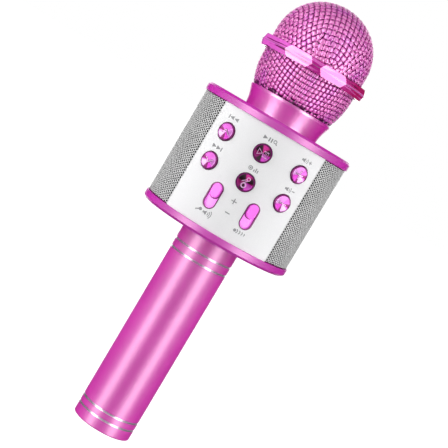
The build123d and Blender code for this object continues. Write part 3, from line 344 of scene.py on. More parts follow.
# painted light: the knob glows faintly pink though it is no lamp
knob_look = moulded("bright_pink_slider", (0.95, 0.12, 0.78), 0.38, 0.000008, Coat_Weight=0.3, Emission_Strength=0.16)
knob_look.shader.inputs["Emission Color"].default_value = (1.0, 0.06, 0.9, 1)
# painted light: paler and glowing more inside the knob's pit, which is nearer the drum's axis than this, to lift its
# shade
PIT_REACH = 40.6
flattened = knob_look.add("ShaderNodeVectorMath", operation="MULTIPLY")
knob_look.link(knob_look.place, flattened.inputs[0])
flattened.inputs[1].default_value = (1, 1, 0)
reach = knob_look.add("ShaderNodeVectorMath", operation="LENGTH")
knob_look.link(flattened.outputs["Vector"], reach.inputs[0])
pit_glow = knob_look.math("LESS_THAN", reach.outputs["Value"], PIT_REACH * MM)
knob_look.color(knob_look.mix(pit_glow, knob_look.shader.inputs["Base Color"].links[0].from_socket, (1.0, 0.45, 0.98)))
knob_look.link(knob_look.math("MULTIPLY_ADD", pit_glow, 0.22, 0.16), knob_look.shader.inputs["Emission Strength"])
# dark pink for dark outlines, and for painted shade and shadow in the grille seams and slider slots
dark_mark_and_shade = lacquer("dark_pink_mark_and_shade", (0.11, 0.002, 0.07), (0.15, 0.003, 0.10), 0.35, 0.2)
mark_silver = lacquer("silver_pink_mark", (0.80, 0.45, 0.76), (0.88, 0.52, 0.84), 0.3, 0.2)
print_look = moulded("grey_print", (0.25, 0.25, 0.26), 0.6, 0.000003)

inner_looks = {
    "black_plastic": moulded("black_moulded_plastic", (0.012, 0.012, 0.013), 0.5),
    "black_rubber": moulded("black_rubber", (0.01, 0.01, 0.01), 0.75, 0.00003, 1500),
    "black_cloth": cloth_look,
    "black_foam": foam_look,
    "black_paper": moulded("pressed_cone_paper", (0.02, 0.02, 0.022), 0.85, 0.00006, 1200),
    "cell_wrap": moulded("blue_shrink_wrap", (0.01, 0.10, 0.30), 0.3, 0.000006, 300),
    "spring_steel": bare_metal("plated_steel", (0.62, 0.62, 0.62), 0.28),
    "speaker_steel": bare_metal("zinc_plated_basket", (0.32, 0.32, 0.34), 0.35),
    "magnet_ferrite": moulded("grey_ferrite", (0.045, 0.045, 0.05), 0.7, 0.00003, 700),
    "module_can": bare_metal("pressed_tin_can", (0.70, 0.70, 0.71), 0.32),
    "capsule_can": bare_metal("turned_capsule_can", (0.68, 0.68, 0.70), 0.3),
    "green_board": moulded("green_solder_mask", (0.008, 0.09, 0.03), 0.35, 0.00001, 400),
    "led_lens": moulded("milky_lamp_lens", (0.75, 0.80, 0.85), 0.2, 0.000002, 300),
    "dark_screws": bare_metal("blackened_screw_steel", (0.14, 0.14, 0.15), 0.35),
    "lead_red": moulded("red_wire_sleeve", (0.35, 0.01, 0.01), 0.5),
    "lead_black": moulded("black_wire_sleeve", (0.01, 0.01, 0.01), 0.5),
    "handle_anodised": handle_look,
    "pink_satin": lacquer("pink_end_cap", (0.5, 0.08, 0.32), (0.62, 0.14, 0.42), 0.4, 0.4),
    "pink_metallic": rim_look,
    "pink_ring": ring_look,
    "pink_mesh": wire_look,
    "pink_knob": knob_look,
    "silver_panel": panel_look,
    "grille_steel": grille_look,
    "pink_cap": cap_look,
    "dark_pink_cap": cap_look,
}


def wear(obj, look):
    """Gives an object one material throughout."""
    obj.data.materials.clear()
    obj.data.materials.append(look.material)


for part in frame["record"]["subparts"]:
    wear(nodes[part["node"]], inner_looks[part["material_slot"]])
wear(nodes["neck_collar"], neck_look)

# ---------------------------------------------------------------- piece helpers


def piece(name, points, faces, look, body, smooth=True):
    """A mesh object from points in metres, riding on a body."""
    mesh = bpy.data.meshes.new(name)
    mesh.from_pydata([tuple(p) for p in points], [], [tuple(f) for f in faces])
    mesh.validate()
    mesh.polygons.foreach_set("use_smooth", [smooth] * len(mesh.polygons))
    obj = bpy.data.objects.new(name, mesh)
    scene.collection.objects.link(obj)
    wear(obj, look)
    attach(obj, body)
    return obj


def shade(obj, tones):
    """Stores one tone for each point, which the material reads as its place in the weave and paints as shade and
    highlight.
    """
    layer = obj.data.attributes.new("tone", "FLOAT", "POINT")
    layer.data.foreach_set("value", np.asarray(tones, dtype=np.float32))


def settle_modifiers(obj):
    """Makes an object's modifiers part of its mesh."""
    graph = bpy.context.evaluated_depsgraph_get()
    mesh = bpy.data.meshes.new_from_object(obj.evaluated_get(graph))
    obj.modifiers.clear()
    obj.data = mesh


# ---------------------------------------------------------------- woven head


def weave_wires(paths, width, thick):
    """Flattened wires. A path is a list of (point, normal, width scale, height from -1 to 1)."""
    points, faces, tones = [], [], []
    section = [(1, 0.3), (0.86, 0.85), (0.4, 1), (-0.4, 1), (-0.86, 0.85), (-1, 0.3), (-0.7, -1), (0.7, -1)]
    edge_shade = 0.26
    sides = len(section)
    for path in paths:
        spots = np.array([p for p, _, _, _ in path])
        normals = np.array([n for _, n, _, _ in path])
        along = np.gradient(spots, axis=0)
        along /= np.linalg.norm(along, axis=1)[:, None]
        across = np.cross(along, normals)
        across /= np.linalg.norm(across, axis=1)[:, None]
        out = np.cross(across, along)
        first = len(points)
        for k, (_, _, scale, high) in enumerate(path):
            for x, y in section:
                # painted shade: the tone falls where the wire dives and along its two edges, and rises on its crown
                tones.append(0.5 + 0.5 * high - (edge_shade if abs(x) == 1 else 0))
                points.append(spots[k] + across[k] * (width * scale / 2 * x) + out[k] * (thick / 2 * y))
        for k in range(len(path) - 1):
            for s in range(sides):
                t = (s + 1) % sides
                a = first + k * sides
                faces.append((a + s, a + t, a + t + sides, a + s + sides))
        faces.append([first + s for s in range(sides)][::-1])
        faces.append([len(points) - sides + s for s in range(sides)])
    return points, faces, tones


WIRE_THICK = 0.95
DOME_R, DOME_Z = 26.7, 224.3
DOME_MEAN = DOME_R - WIRE_THICK


def onto_dome(spots):
    """The nearest places on the dome's middle surface, and its normals there."""
    local = spots - np.array([0, 0, DOME_Z])
    height = local[..., 2].copy()
    local[..., 2] = np.maximum(height, 0)
    normals = local / np.linalg.norm(local, axis=-1, keepdims=True)
    steep = normals[..., 2:]
    # a little fuller at the shoulders than a ball and flatter on top, with straight sides below
    fixed = normals * (DOME_MEAN + 0.55 * np.minimum(1, 1.4 * steep) - 0.3 * steep**6)
    fixed[..., 2] = np.where(height > 0, fixed[..., 2], height)
    return fixed + np.array([0, 0, DOME_Z]), normals


PITCH, REACH, SKIRT = 2.95, 17, 9.0
grid = np.arange(-REACH, REACH + 1)
gi, gj = np.meshgrid(grid, grid, indexing="ij")
turn = math.radians(12.0)
flat_x = PITCH * (gi * math.cos(turn) - gj * math.sin(turn))
flat_y = PITCH * (gi * math.sin(turn) + gj * math.cos(turn))
flat_r = np.hypot(flat_x, flat_y)
arc = np.minimum(flat_r / DOME_MEAN, math.pi / 2)
skirt = np.maximum(flat_r - DOME_MEAN * math.pi / 2, 0)
bearing = np.arctan2(flat_y, flat_x)
net = np.stack(
    [
        DOME_MEAN * np.sin(arc) * np.cos(bearing),
        DOME_MEAN * np.sin(arc) * np.sin(bearing),
        DOME_Z + DOME_MEAN * np.cos(arc) - skirt,
    ],
    axis=-1,
)
inside = flat_r < DOME_MEAN * math.pi / 2 + SKIRT


def pull(net, step, rest, stiffness):
    """One relaxation step of the net's springs in one grid direction."""
    di, dj = step
    rows, columns = net.shape[0] - di, net.shape[1] - abs(dj)
    a = net[:rows, max(0, -dj) :][:, :columns]
    b = net[di:, max(0, dj) :][:, :columns]
    gap = b - a
    length = np.linalg.norm(gap, axis=-1, keepdims=True)
    move = gap * (stiffness * 0.5 * (1 - rest / np.maximum(length, 1e-6)))
    a += move
    b -= move


ROUNDS, DIAGONAL = 260, PITCH * 1.35
for _ in range(ROUNDS):
    for step, rest, stiffness in (
        ((1, 0), PITCH, 0.45),
        ((0, 1), PITCH, 0.45),
        ((1, 1), DIAGONAL, 0.12),
        ((1, -1), DIAGONAL, 0.12),
    ):
        pull(net, step, rest, stiffness)
    net[REACH, REACH] = (0, 0, DOME_Z + DOME_MEAN)
    net, _ = onto_dome(net)

STEPS = 5  # points along a wire between two crossings


def wires_through(rows, onto, lift):
    """Undulating paths through rows of crossings. Each row is a list of (point, side, width scale)."""
    paths = []
    for row in rows:
        if len(row) < 3:
            continue
        path = []
        for (p, sign, w0), (q, _, w1) in zip(row, row[1:]):
            for k in range(STEPS):
                t = k / STEPS
                spot, normal = onto(p * (1 - t) + q * t)
                wave = math.cos(math.pi * t)
                high = sign * math.copysign(abs(wave) ** 0.6, wave)
                path.append((spot + normal * lift * high, normal, w0 * (1 - t) + w1 * t, high))
        spot, normal = onto(row[-1][0])
        path.append((spot + normal * lift * row[-1][1], normal, row[-1][2], row[-1][1]))
        paths.append(path)
    return paths


def net_rows(net, inside, low):
    """Splits the net into warp and weft rows above a height, with each crossing's side."""
    rows = []
    count = net.shape[0]
    for flip in (0, 1):
        for i in range(count):
            row = []
            for j in range(count):
                a, b = (j, i) if flip else (i, j)
                point = net[a, b]
                if not inside[a, b] or point[2] < low:
                    if len(row) > 2:
                        rows.append(row)
                    row = []
                    continue
                if flip:
                    side = net[a, b + 1] - net[a, b - 1]
                    ahead = net[a + 1, b] - net[a - 1, b]
                else:
                    side = net[a + 1, b] - net[a - 1, b]
                    ahead = net[a, b + 1] - net[a, b - 1]
                ahead = ahead / np.linalg.norm(ahead)
                spread = np.linalg.norm(side - ahead * np.dot(side, ahead)) / 2
                sign = (1 if (a + b) % 2 == 0 else -1) * (1 if flip else -1)
                row.append((point, sign, min(1.1, max(0.35, spread / PITCH))))
            if len(row) > 2:
                rows.append(row)
    return rows


def dome_at(point):
    """One place on the dome, and its normal."""
    spot, normal = onto_dome(np.array([point]))
    return spot[0], normal[0]


HEAD_R, WIRE_FLAT = 26.0, 0.6
DOME_LOW, DOME_LIFT = 217.1, 0.48
dome_paths = wires_through(net_rows(net, inside, DOME_LOW), dome_at, DOME_LIFT)
points, faces, tones = weave_wires(dome_paths, PITCH * 0.92, WIRE_FLAT)
dome = piece("dome_weave", np.array(points) * MM, faces, wire_look, "head")
side_on = np.abs(np.array(points)[:, 0]) / HEAD_R
sparkle = np.random.default_rng(11).uniform(-1, 1, len(tones))
shade(dome, np.array(tones) - 0.02 + sparkle * (0.05 + 0.2 * side_on**2))
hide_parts("mesh_dome")

# the bowl's cloth: AROUND uprights, and hoops that climb RISE pitches in a lap and sag twice in it
BOWL_THICK, BOWL_LIFT, BOWL_WIDEST = 0.9, 0.44, 25.6
BOWL_PITCH, AROUND, RISE, SAG, SAG_TURN = 2.38, 66, 8, 4.0, math.pi / 2 + 0.2
BOWL_TOP, BOWL_LOW = 216.0, 191.3
SHOULDER_Z, CURVE_R, CURVE_IN, FLARE = 210.6, 36.5, 10.2, 0.018
LIP_BAND, LIP_Z = 5.4, 196.6


def bowl_radius(z):
    """The bowl's outer radius at a height in millimetres."""
    below = np.maximum(SHOULDER_Z - z, 0)
    return np.sqrt(CURVE_R**2 - below**2) - CURVE_IN + np.maximum(z - SHOULDER_Z, 0) * FLARE


heights = np.linspace(BOWL_TOP, BOWL_LOW, 400)
radii = bowl_radius(heights) - BOWL_THICK
arcs = np.concatenate([[0], np.cumsum(np.hypot(np.diff(heights), np.diff(radii)))])
tilt = math.atan2(RISE, AROUND)
lap = BOWL_PITCH * math.hypot(AROUND, RISE)
drop = arcs[-1]


def bowl_at(place):
    """A place on the bowl from (distance round, distance down)."""
    z = float(np.interp(place[1], arcs, heights))
    r = float(np.interp(place[1], arcs, radii))
    slope = (float(bowl_radius(z + 0.1)) - float(bowl_radius(z - 0.1))) / 0.2
    a = 2 * math.pi * place[0] / lap
    normal = np.array([math.cos(a), math.sin(a), -slope])
    spot = np.array([r * math.cos(a), r * math.sin(a), z])
    return spot, normal / np.linalg.norm(normal)


bowl_rows = []
FARTHEST = 120
for flip, count in ((0, RISE), (1, AROUND)):
    for line in range(count):
        row = []
        for k in range(-FARTHEST, FARTHEST + 1):
            i, j = (line, k) if flip else (k, line)
            round_ = BOWL_PITCH * (i * math.cos(tilt) - j * math.sin(tilt))
            sag = SAG * math.cos(2 * (2 * math.pi * round_ / lap + SAG_TURN))
            down = BOWL_PITCH * (i * math.sin(tilt) + j * math.cos(tilt)) + sag
            if not 0 <= down <= drop:
                continue
            sign = (1 if (i + j) % 2 == 0 else -1) * (1 if flip else -1)
            squeeze = float(np.interp(down, arcs, radii)) / BOWL_WIDEST
            hoop = 1.0 if down < drop - LIP_BAND else 0.5
            row.append((np.array([round_, down]), sign, squeeze if flip else hoop))
        bowl_rows.append(row)
bowl_paths = wires_through(bowl_rows, bowl_at, BOWL_LIFT)
points, faces, tones = weave_wires(bowl_paths, BOWL_PITCH * 0.9, WIRE_FLAT)
bowl = piece("bowl_weave", np.array(points) * MM, faces, wire_look, "head")
spots = np.array(points)
side_on = np.abs(spots[:, 0]) / HEAD_R
sparkle = np.random.default_rng(12).uniform(-1, 1, len(tones))
turn_by = np.arctan2(spots[:, 1], spots[:, 0])
# painted shadow where the mesh meets the lip: dark dashes on the wires that gather at the lip, some darker than others
lip_shadow_dashes = np.maximum(np.sin(9 * turn_by + 1.5) + 0.6 * np.sin(23 * turn_by), 0)
low_down = np.clip((LIP_Z - spots[:, 2]) / 0.8, 0, 1)
shade(bowl, np.array(tones) - 0.06 + sparkle * (0.06 + 0.2 * side_on**2) - low_down * (0.12 + 0.4 * lip_shadow_dashes))
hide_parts("mesh_bowl")

# the foam inside: a moulded ball with an open-celled skin, smaller than its solid by a hair
FOAM_R, FOAM_WALL, FOAM_DENT = 24.2, 2.2, 0.12
profile = [(18.9, 195.4), (21.2, 195.4), (22.7, 201.2), (FOAM_R, 207.2), (FOAM_R, 216.0)]
profile += [(FOAM_R * math.cos(a), DOME_Z + FOAM_R * math.sin(a)) for a in np.linspace(0, math.pi / 2, 14)[:-1]]
points, faces = [], []
rng = np.random.default_rng(5)
around = 72
for r, z in profile:
    for k in range(around):
        a = 2 * math.pi * k / around
        dent = FOAM_DENT * float(rng.random())
        points.append(np.array([(r - dent) * math.cos(a), (r - dent) * math.sin(a), z]) * MM)
for row in range(len(profile) - 1):
    for k in range(around):
        a, b = row * around + k, row * around + (k + 1) % around
        faces.append((a, b, b + around, a + around))
points.append(np.array([0, 0, DOME_Z + FOAM_R]) * MM)
last = (len(profile) - 1) * around
faces += [(last + k, last + (k + 1) % around, len(points) - 1) for k in range(around)]
foam = piece("foam_ball", points, faces, foam_look, "head_carrier")
thicken = foam.modifiers.new("wall", "SOLIDIFY")
thicken.thickness = FOAM_WALL * MM
thicken.offset = -1
settle_modifiers(foam)
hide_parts("foam_liner")

# ---------------------------------------------------------------- perforated grilles and cloth

SKIN_R, PANEL_LOW, PANEL_HIGH = 41.3, 120.3, 179.4
GRILLE_START, GRILLE_END = 43.5, 159.7
CLOTH_START, CLOTH_END = 46.0, 157.2
COLUMNS, ROWS, FIELD_HOLE, EDGE_HOLE = 65, 41, 0.57, 0.66
TUCK, PLAIN_END, PLAIN_SIDE, SHEET = 0.9, 0.1, 0.05, 0.35
LOWER_SEAM_SHADOW, UPPER_SEAM_SHADOW = 0.55, 0.45


def on_drum(angle, z, lift=0.0):
    """A place on the housing's skin, by its angle from the front."""
    r = (SKIN_R + lift) * MM
    return (r * math.sin(angle), -r * math.cos(angle), z * MM)


# a cell's outline: twelve points, its six corners and the middles of its edges, so neighbours share them
QUARTER = [(1, 0), (0.75, 0.5), (0.5, 1)]
UPPER = QUARTER + [(0, 1)] + [(-x, y) for x, y in QUARTER[::-1]]
HEXAGON = UPPER + [(-x, -y) for x, y in UPPER[1:-1]]
CLOCK = [(math.cos(math.radians(30 * k)), math.sin(math.radians(30 * k))) for k in range(12)]


def perforated(name, start, end, node):
    """A bent sheet with round holes in columns, every other column half a pitch up."""
    low, high = PANEL_LOW - TUCK, PANEL_HIGH + TUCK
    pitch = (high - low - 2 * PLAIN_END) / ROWS
    width = SKIN_R * math.radians(end - start)
    tip, half = (width - 2 * PLAIN_SIDE) / ((COLUMNS - 1) * 1.5 + 2), pitch / 2
    step = tip * 1.5
    border = tip + PLAIN_SIDE
    base = low + PLAIN_END
    index, points, faces = {}, [], []

    def at(u, v):
        """The number of the point at a place on the sheet, one for all the faces that meet there."""
        key = (round(u, 3), round(v, 3))
        if key not in index:
            index[key] = len(points)
            points.append(on_drum(math.radians(start) + u / SKIN_R, v))
        return index[key]

    def face(*corners):
        faces.append([at(x, y) for x, y in corners])

    for column in range(COLUMNS):
        odd = column % 2
        hole = EDGE_HOLE if column in (0, COLUMNS - 1) else FIELD_HOLE
        u = border + column * step
        for row in range(ROWS - odd):
            v = base + half + row * pitch + odd * half
            cell = [at(u + x * tip, v + y * half) for x, y in HEXAGON]
            rim = [at(u + hole * c, v + hole * s) for c, s in CLOCK]
            for k in range(12):
                n = (k + 1) % 12
                faces.append((cell[k], cell[n], rim[n], rim[k]))
    # the plain strips up the two sides
    for row in range(ROWS):
        v = base + half + row * pitch
        for edge, way in ((0.0, -1), (width, 1)):
            u = border + (0 if way < 0 else (COLUMNS - 1) * step)
            for up in (-1, 1):
                slant = [(u + way * x * tip, v + up * y * half) for x, y in QUARTER]
                corners = [(edge, v), *slant, (edge, v + up * half)]
                face(*(corners if way * up < 0 else corners[::-1]))
    # the half cells left between the columns, and the plain strips, at the top and the bottom
    for level, up in ((base, -1), (base + ROWS * pitch, 1)):
        limit = low if up < 0 else high
        stops = [0.0]
        for column in range(0, COLUMNS, 2):
            u = border + column * step
            stops += [u - tip / 2, u, u + tip / 2]
            if column + 2 < COLUMNS:
                o = u + step
                inner, between = level - up * half, level - up * half / 2
                corners = [(o - tip / 2, inner), (o, inner), (o + tip / 2, inner), (o + tip * 0.75, between)]
                corners += [(o + tip, level), (o - tip, level), (o - tip * 0.75, between)]
                face(*(corners if up > 0 else corners[::-1]))
        stops.append(width)
        for a, b in zip(stops, stops[1:]):
            corners = [(a, level), (b, level), (b, limit), (a, limit)]
            face(*(corners if up > 0 else corners[::-1]))
    obj = piece(name, points, faces, grille_look, "housing", smooth=False)
    sheet = obj.modifiers.new("sheet", "SOLIDIFY")
    sheet.thickness = SHEET * MM
    sheet.offset = -1
    settle_modifiers(obj)
    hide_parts(node)
    return obj


def seam_shadow(name, start, end, low, high):
    """A painted shadow between a grille and a lid: a dark curved strip on the drum."""
    count = 60
    points, faces = [], []
    for k in range(count + 1):
        a = math.radians(start + (end - start) * k / count)
        points += [on_drum(a, z, lift) for z, lift in ((low, -0.05), (high, -0.05), (high, 0.05), (low, 0.05))]
    for k in range(count):
        for n in range(4):
            m = (n + 1) % 4
            faces.append((4 * k + n, 4 * k + 4 + n, 4 * k + 4 + m, 4 * k + m))
    faces += [(0, 1, 2, 3), tuple(4 * count + n for n in (3, 2, 1, 0))]
    return piece(name, points, faces, dark_mark_and_shade, "housing", smooth=False)


def bent_cloth(name, start, end, node):
    """The stretched cloth behind a grille, with the slight ripple of its weave."""
    wide, tall, r, gap = 96, 64, 40.43, 0.3
    height = PANEL_HIGH - PANEL_LOW - 2 * gap
    points, faces = [], []
    for i in range(wide + 1):
        a = math.radians(start + (end - start) * i / wide)
        for j in range(tall + 1):
            z = PANEL_LOW + gap + height * j / tall
            ripple = 0.03 * math.sin(i * 2.1) * math.cos(j * 1.7)
            points.append(on_drum(a, z, r - SKIN_R + ripple - 0.02))
    for i in range(wide):
        for j in range(tall):
            a = i * (tall + 1) + j
            faces.append((a, a + tall + 1, a + tall + 2, a + 1))
    obj = piece(name, points, faces, cloth_look, "housing")
    cloth = obj.modifiers.new("cloth", "SOLIDIFY")
    cloth.thickness = 0.18 * MM
    cloth.offset = -1
    settle_modifiers(obj)
    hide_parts(node)
    return obj


perforated("right_grille_sheet", GRILLE_START, GRILLE_END, "right_grille")
perforated("left_grille_sheet", -GRILLE_END, -GRILLE_START, "left_grille")
for side, start, end in (("right", GRILLE_START, GRILLE_END), ("left", -GRILLE_END, -GRILLE_START)):
    # painted shadow along the bottom and the top of each grille
    seam_shadow(side + "_lower_seam_shadow", start, end, PANEL_LOW, PANEL_LOW + LOWER_SEAM_SHADOW)
    seam_shadow(side + "_upper_seam_shadow", start, end, PANEL_HIGH - UPPER_SEAM_SHADOW, PANEL_HIGH)
bent_cloth("right_cloth", CLOTH_START, CLOTH_END, "right_dust_cloth")
bent_cloth("left_cloth", -CLOTH_END, -CLOTH_START, "left_dust_cloth")

# ---------------------------------------------------------------- printed marks


def box(x, y, w, h):
    """A rectangle's corners, from its middle and size."""
    return [(x - w / 2, y - h / 2), (x + w / 2, y - h / 2), (x + w / 2, y + h / 2), (x - w / 2, y + h / 2)]


def disc(x, y, r, count=24, start=0.0, end=360.0):
    """A circle's points, or an arc's where it stops short of a full turn."""
    angles = [math.radians(start + (end - start) * k / count) for k in range(count + (end - start < 360))]
    return [(x + r * math.cos(a), y + r * math.sin(a)) for a in angles]


def arc_band(x, y, r, w, start, end, count=14):
    """A curved bar of width w."""
    outer = disc(x, y, r + w / 2, count, start, end)
    inner = disc(x, y, r - w / 2, count, start, end)
    return outer + inner[::-1]


def stroke(a, b, w):
    """A straight bar between two points."""
    d = Vector((b[0] - a[0], b[1] - a[1]))
    n = Vector((-d.y, d.x)).normalized() * (w / 2)
    return [(a[0] - n.x, a[1] - n.y), (b[0] - n.x, b[1] - n.y), (b[0] + n.x, b[1] + n.y), (a[0] + n.x, a[1] + n.y)]


def outline(loop, w):
    """A closed line of width w along a loop, as an outer loop with a hole."""
    middle = Vector((sum(p[0] for p in loop), sum(p[1] for p in loop))) / len(loop)
    sized = []
    for grow in (w / 2, -w / 2):
        ring = []
        for x, y in loop:
            d = Vector((x, y)) - middle
            ring.append(tuple(middle + d * ((d.length + grow * 1.3) / d.length)))
        sized.append(ring)
    return sized


def marks(name, shapes, place, look, body, low, high, cell=0.6):
    """Thin solid marks, cut in cells to bend. A shape is a loop, or an outer loop with holes."""
    work = bmesh.new()
    for shape in shapes:
        loops = shape if isinstance(shape[0], list) else [shape]
        corners = [work.verts.new((x, y, 0)) for loop in loops for x, y in loop]
        for a, b, c in tessellate_polygon([[Vector((x, y, 0)) for x, y in loop] for loop in loops]):
            try:
                work.faces.new((corners[a], corners[b], corners[c]))
            except ValueError:  # the same triangle again
                pass
    xs = [v.co.x for v in work.verts]
    ys = [v.co.y for v in work.verts]
    for values, normal in ((xs, (1, 0, 0)), (ys, (0, 1, 0))):
        position = min(values) + cell
        while position < max(values):
            spot = tuple(c * position for c in normal)
            everything = work.verts[:] + work.edges[:] + work.faces[:]
            bmesh.ops.bisect_plane(work, geom=everything, plane_co=spot, plane_no=normal)
            position += cell
    work.normal_update()
    for face in work.faces:
        if face.normal.z < 0:
            face.normal_flip()
    top = {v: n for n, v in enumerate(work.verts)}
    count = len(top)
    points = [place(v.co.x, v.co.y, high) for v in work.verts]
    points += [place(v.co.x, v.co.y, low) for v in work.verts]
    faces = []
    for face in work.faces:
        ring = [top[v] for v in face.verts]
        faces.append(ring)
        faces.append([n + count for n in ring[::-1]])
        for loop in face.loops:
            if len(loop.edge.link_faces) == 1:
                a, b = top[loop.vert], top[loop.link_loop_next.vert]
                faces.append((b, a, a + count, b + count))
    work.free()
    return piece(name, points, faces, look, body, smooth=False)


def panel_place(x, y, lift):
    """Front-panel coordinates: x round the skin, y as the height, both in millimetres."""
    return on_drum(x / SKIN_R, y, lift)


def arc_x(degrees):
    """How far round the skin an angle from the front is."""
    return SKIN_R * math.radians(degrees)


def triangle(x, y, reach, rise=1.05):
    """An arrowhead, from the middle of its flat side to its tip."""
    return [(x, y + rise), (x, y - rise), (x + reach, y)]


def speaker_sign(x, y):
    """A loudspeaker's outline: a small box with a cone that opens to the right."""
    lower = [(x - 1.1, y - 0.5), (x - 0.3, y - 0.5), (x + 0.9, y - 1.15)]
    return lower + [(px, 2 * y - py) for px, py in lower[::-1]]


BUTTON_TURN, SLIDER_TURN = 30.2, 14.46
UPPER_ROW, LOWER_ROW = 166.4, 150.0
COLUMN, SLIDER = arc_x(BUTTON_TURN), arc_x(SLIDER_TURN)
ROW_A, ROW_B, ROW_C, PLUS_Z, MINUS_Z = 173.9, 157.5, 127.2, 139.1, 132.6
shapes = []
# skip back, skip forward
for y, way in ((ROW_A, -1), (ROW_B, 1)):
    shapes += [triangle(-COLUMN - 2.9 * way, y, 2.5 * way), triangle(-COLUMN - 0.1 * way, y, 2.5 * way)]
    shapes.append(box(-COLUMN + 2.85 * way, y, 0.6, 2.1))
# play and pause, with a search glass
shapes.append(triangle(-3.7, ROW_A, 2.3))
shapes += [box(-0.5, ROW_A, 0.65, 2.1), box(0.8, ROW_A, 0.65, 2.1)]
shapes.append([disc(2.6, ROW_A + 0.3, 0.95), disc(2.6, ROW_A + 0.3, 0.55)[::-1]])
shapes.append(stroke((3.2, ROW_A - 0.3), (3.9, ROW_A - 1.0), 0.5))
# record, with a level meter
shapes.append([disc(-1.5, ROW_B, 1.1), disc(-1.5, ROW_B, 0.7)[::-1]])
shapes.append(disc(-1.5, ROW_B, 0.42))
for k, tall in enumerate((1.1, 2.1, 1.5)):
    shapes.append(box(0.6 + 0.95 * k, ROW_B - (2.1 - tall) / 2, 0.5, tall))
# louder, softer
for y, louder in ((ROW_A, True), (ROW_B, False)):
    x = COLUMN
    shapes.append(speaker_sign(x - 1.9, y))
    shapes += [arc_band(x - 1.3, y, 1.1, 0.35, -42, 42), arc_band(x - 1.3, y, 1.9, 0.35, -38, 38)]
    shapes.append(box(x + 2.3, y, 1.9, 0.45))
    if louder:
        shapes += [box(x + 2.3, y + 0.6, 0.45, 0.75), box(x + 2.3, y - 0.6, 0.45, 0.75)]
# microphone level, echo, under the sliders
x = -SLIDER
shapes.append(stroke((x - 4.6, ROW_C - 0.9), (x - 2.9, ROW_C + 0.1), 0.6))
shapes.append(disc(x - 2.2, ROW_C + 0.4, 0.85))
shapes.append(speaker_sign(x + 0.6, ROW_C))
shapes += [arc_band(x + 1.2, ROW_C, r, 0.38, -40, 40) for r in (1.2, 2.05, 2.9)]
x = SLIDER
shapes.append(disc(x - 3.0, ROW_C, 0.8))
shapes += [arc_band(x - 2.6 + 1.5 * k, ROW_C, r, 0.42, -62, 62) for k, r in enumerate((1.1, 1.0, 0.85, 0.65))]
# more and less, between the sliders
shapes += [box(0, PLUS_Z, 2.9, 0.5), box(0, PLUS_Z + 0.85, 0.5, 1.2), box(0, PLUS_Z - 0.85, 0.5, 1.2)]
shapes.append(box(0, MINUS_Z, 2.5, 0.55))
marks("panel_print", shapes, panel_place, print_look, "housing", -0.02, 0.015)

# ---------------------------------------------------------------- slider slot outlines and painted shade


def pill(length, width, count=12):
    """The outline of an upright pill, from its size."""
    r = width / 2
    rise = length / 2 - r
    top = [(r * math.cos(a), rise + r * math.sin(a)) for a in np.linspace(0, math.pi, count)]
    return top + [(-x, -y) for x, y in top]


def over(angle, z):
    """Maps (x, y, lift) round a point on the drum to the row frame, in metres."""
    return lambda x, y, lift: on_drum(math.radians(angle) + x / SKIN_R, z + y, lift)


SLOT_Z, KNOB_Z = 136.4, 139.25
for side, name in ((-SLIDER_TURN, "mic_level_slider"), (SLIDER_TURN, "echo_level_slider")):
    ring = [pill(14.4, 7.0), pill(13.3, 5.9)[::-1]]
    # a dark outline round the slot on the panel face
    marks(name + "_slot_outline", [ring], over(side, SLOT_Z), dark_mark_and_shade, "housing", 0.0, 0.07)
    ring = [pill(13.48, 6.08), pill(13.3, 5.9)[::-1]]
    # painted shade: a dark lining on the slot's walls
    marks(name + "_liner", [ring], over(side, SLOT_Z), dark_mark_and_shade, "housing", -1.2, 0.0)
    ring = [pill(8.7, 5.85), pill(7.7, 4.9)[::-1]]
    # painted shadow: a dark ring on the slider round the foot of its knob
    marks(name + "_knob_shadow", [ring], over(side, KNOB_Z), dark_mark_and_shade, name, -1.62, -1.5)

# ---------------------------------------------------------------- button faces

BUTTON_PROUD, DISH_R, DISH_DEEP, EYE = 0.75, 4.0, 0.3, 0.02


def button_space(angle, z):
    """A function that maps (x, y, lift) on a button's face to the row frame, in metres."""
    a = math.radians(angle)
    middle = Vector(((SKIN_R + BUTTON_PROUD) * math.sin(a), -(SKIN_R + BUTTON_PROUD) * math.cos(a), z))
    side, out = Vector((math.cos(a), math.sin(a), 0)), Vector((math.sin(a), -math.cos(a), 0))

    def place(x, y, lift):
        dish = -DISH_DEEP * max(0.0, 1 - math.hypot(x, y) / DISH_R)
        return tuple((middle + side * x + Vector((0, 0, y)) + out * (dish + lift)) * MM)

    return place


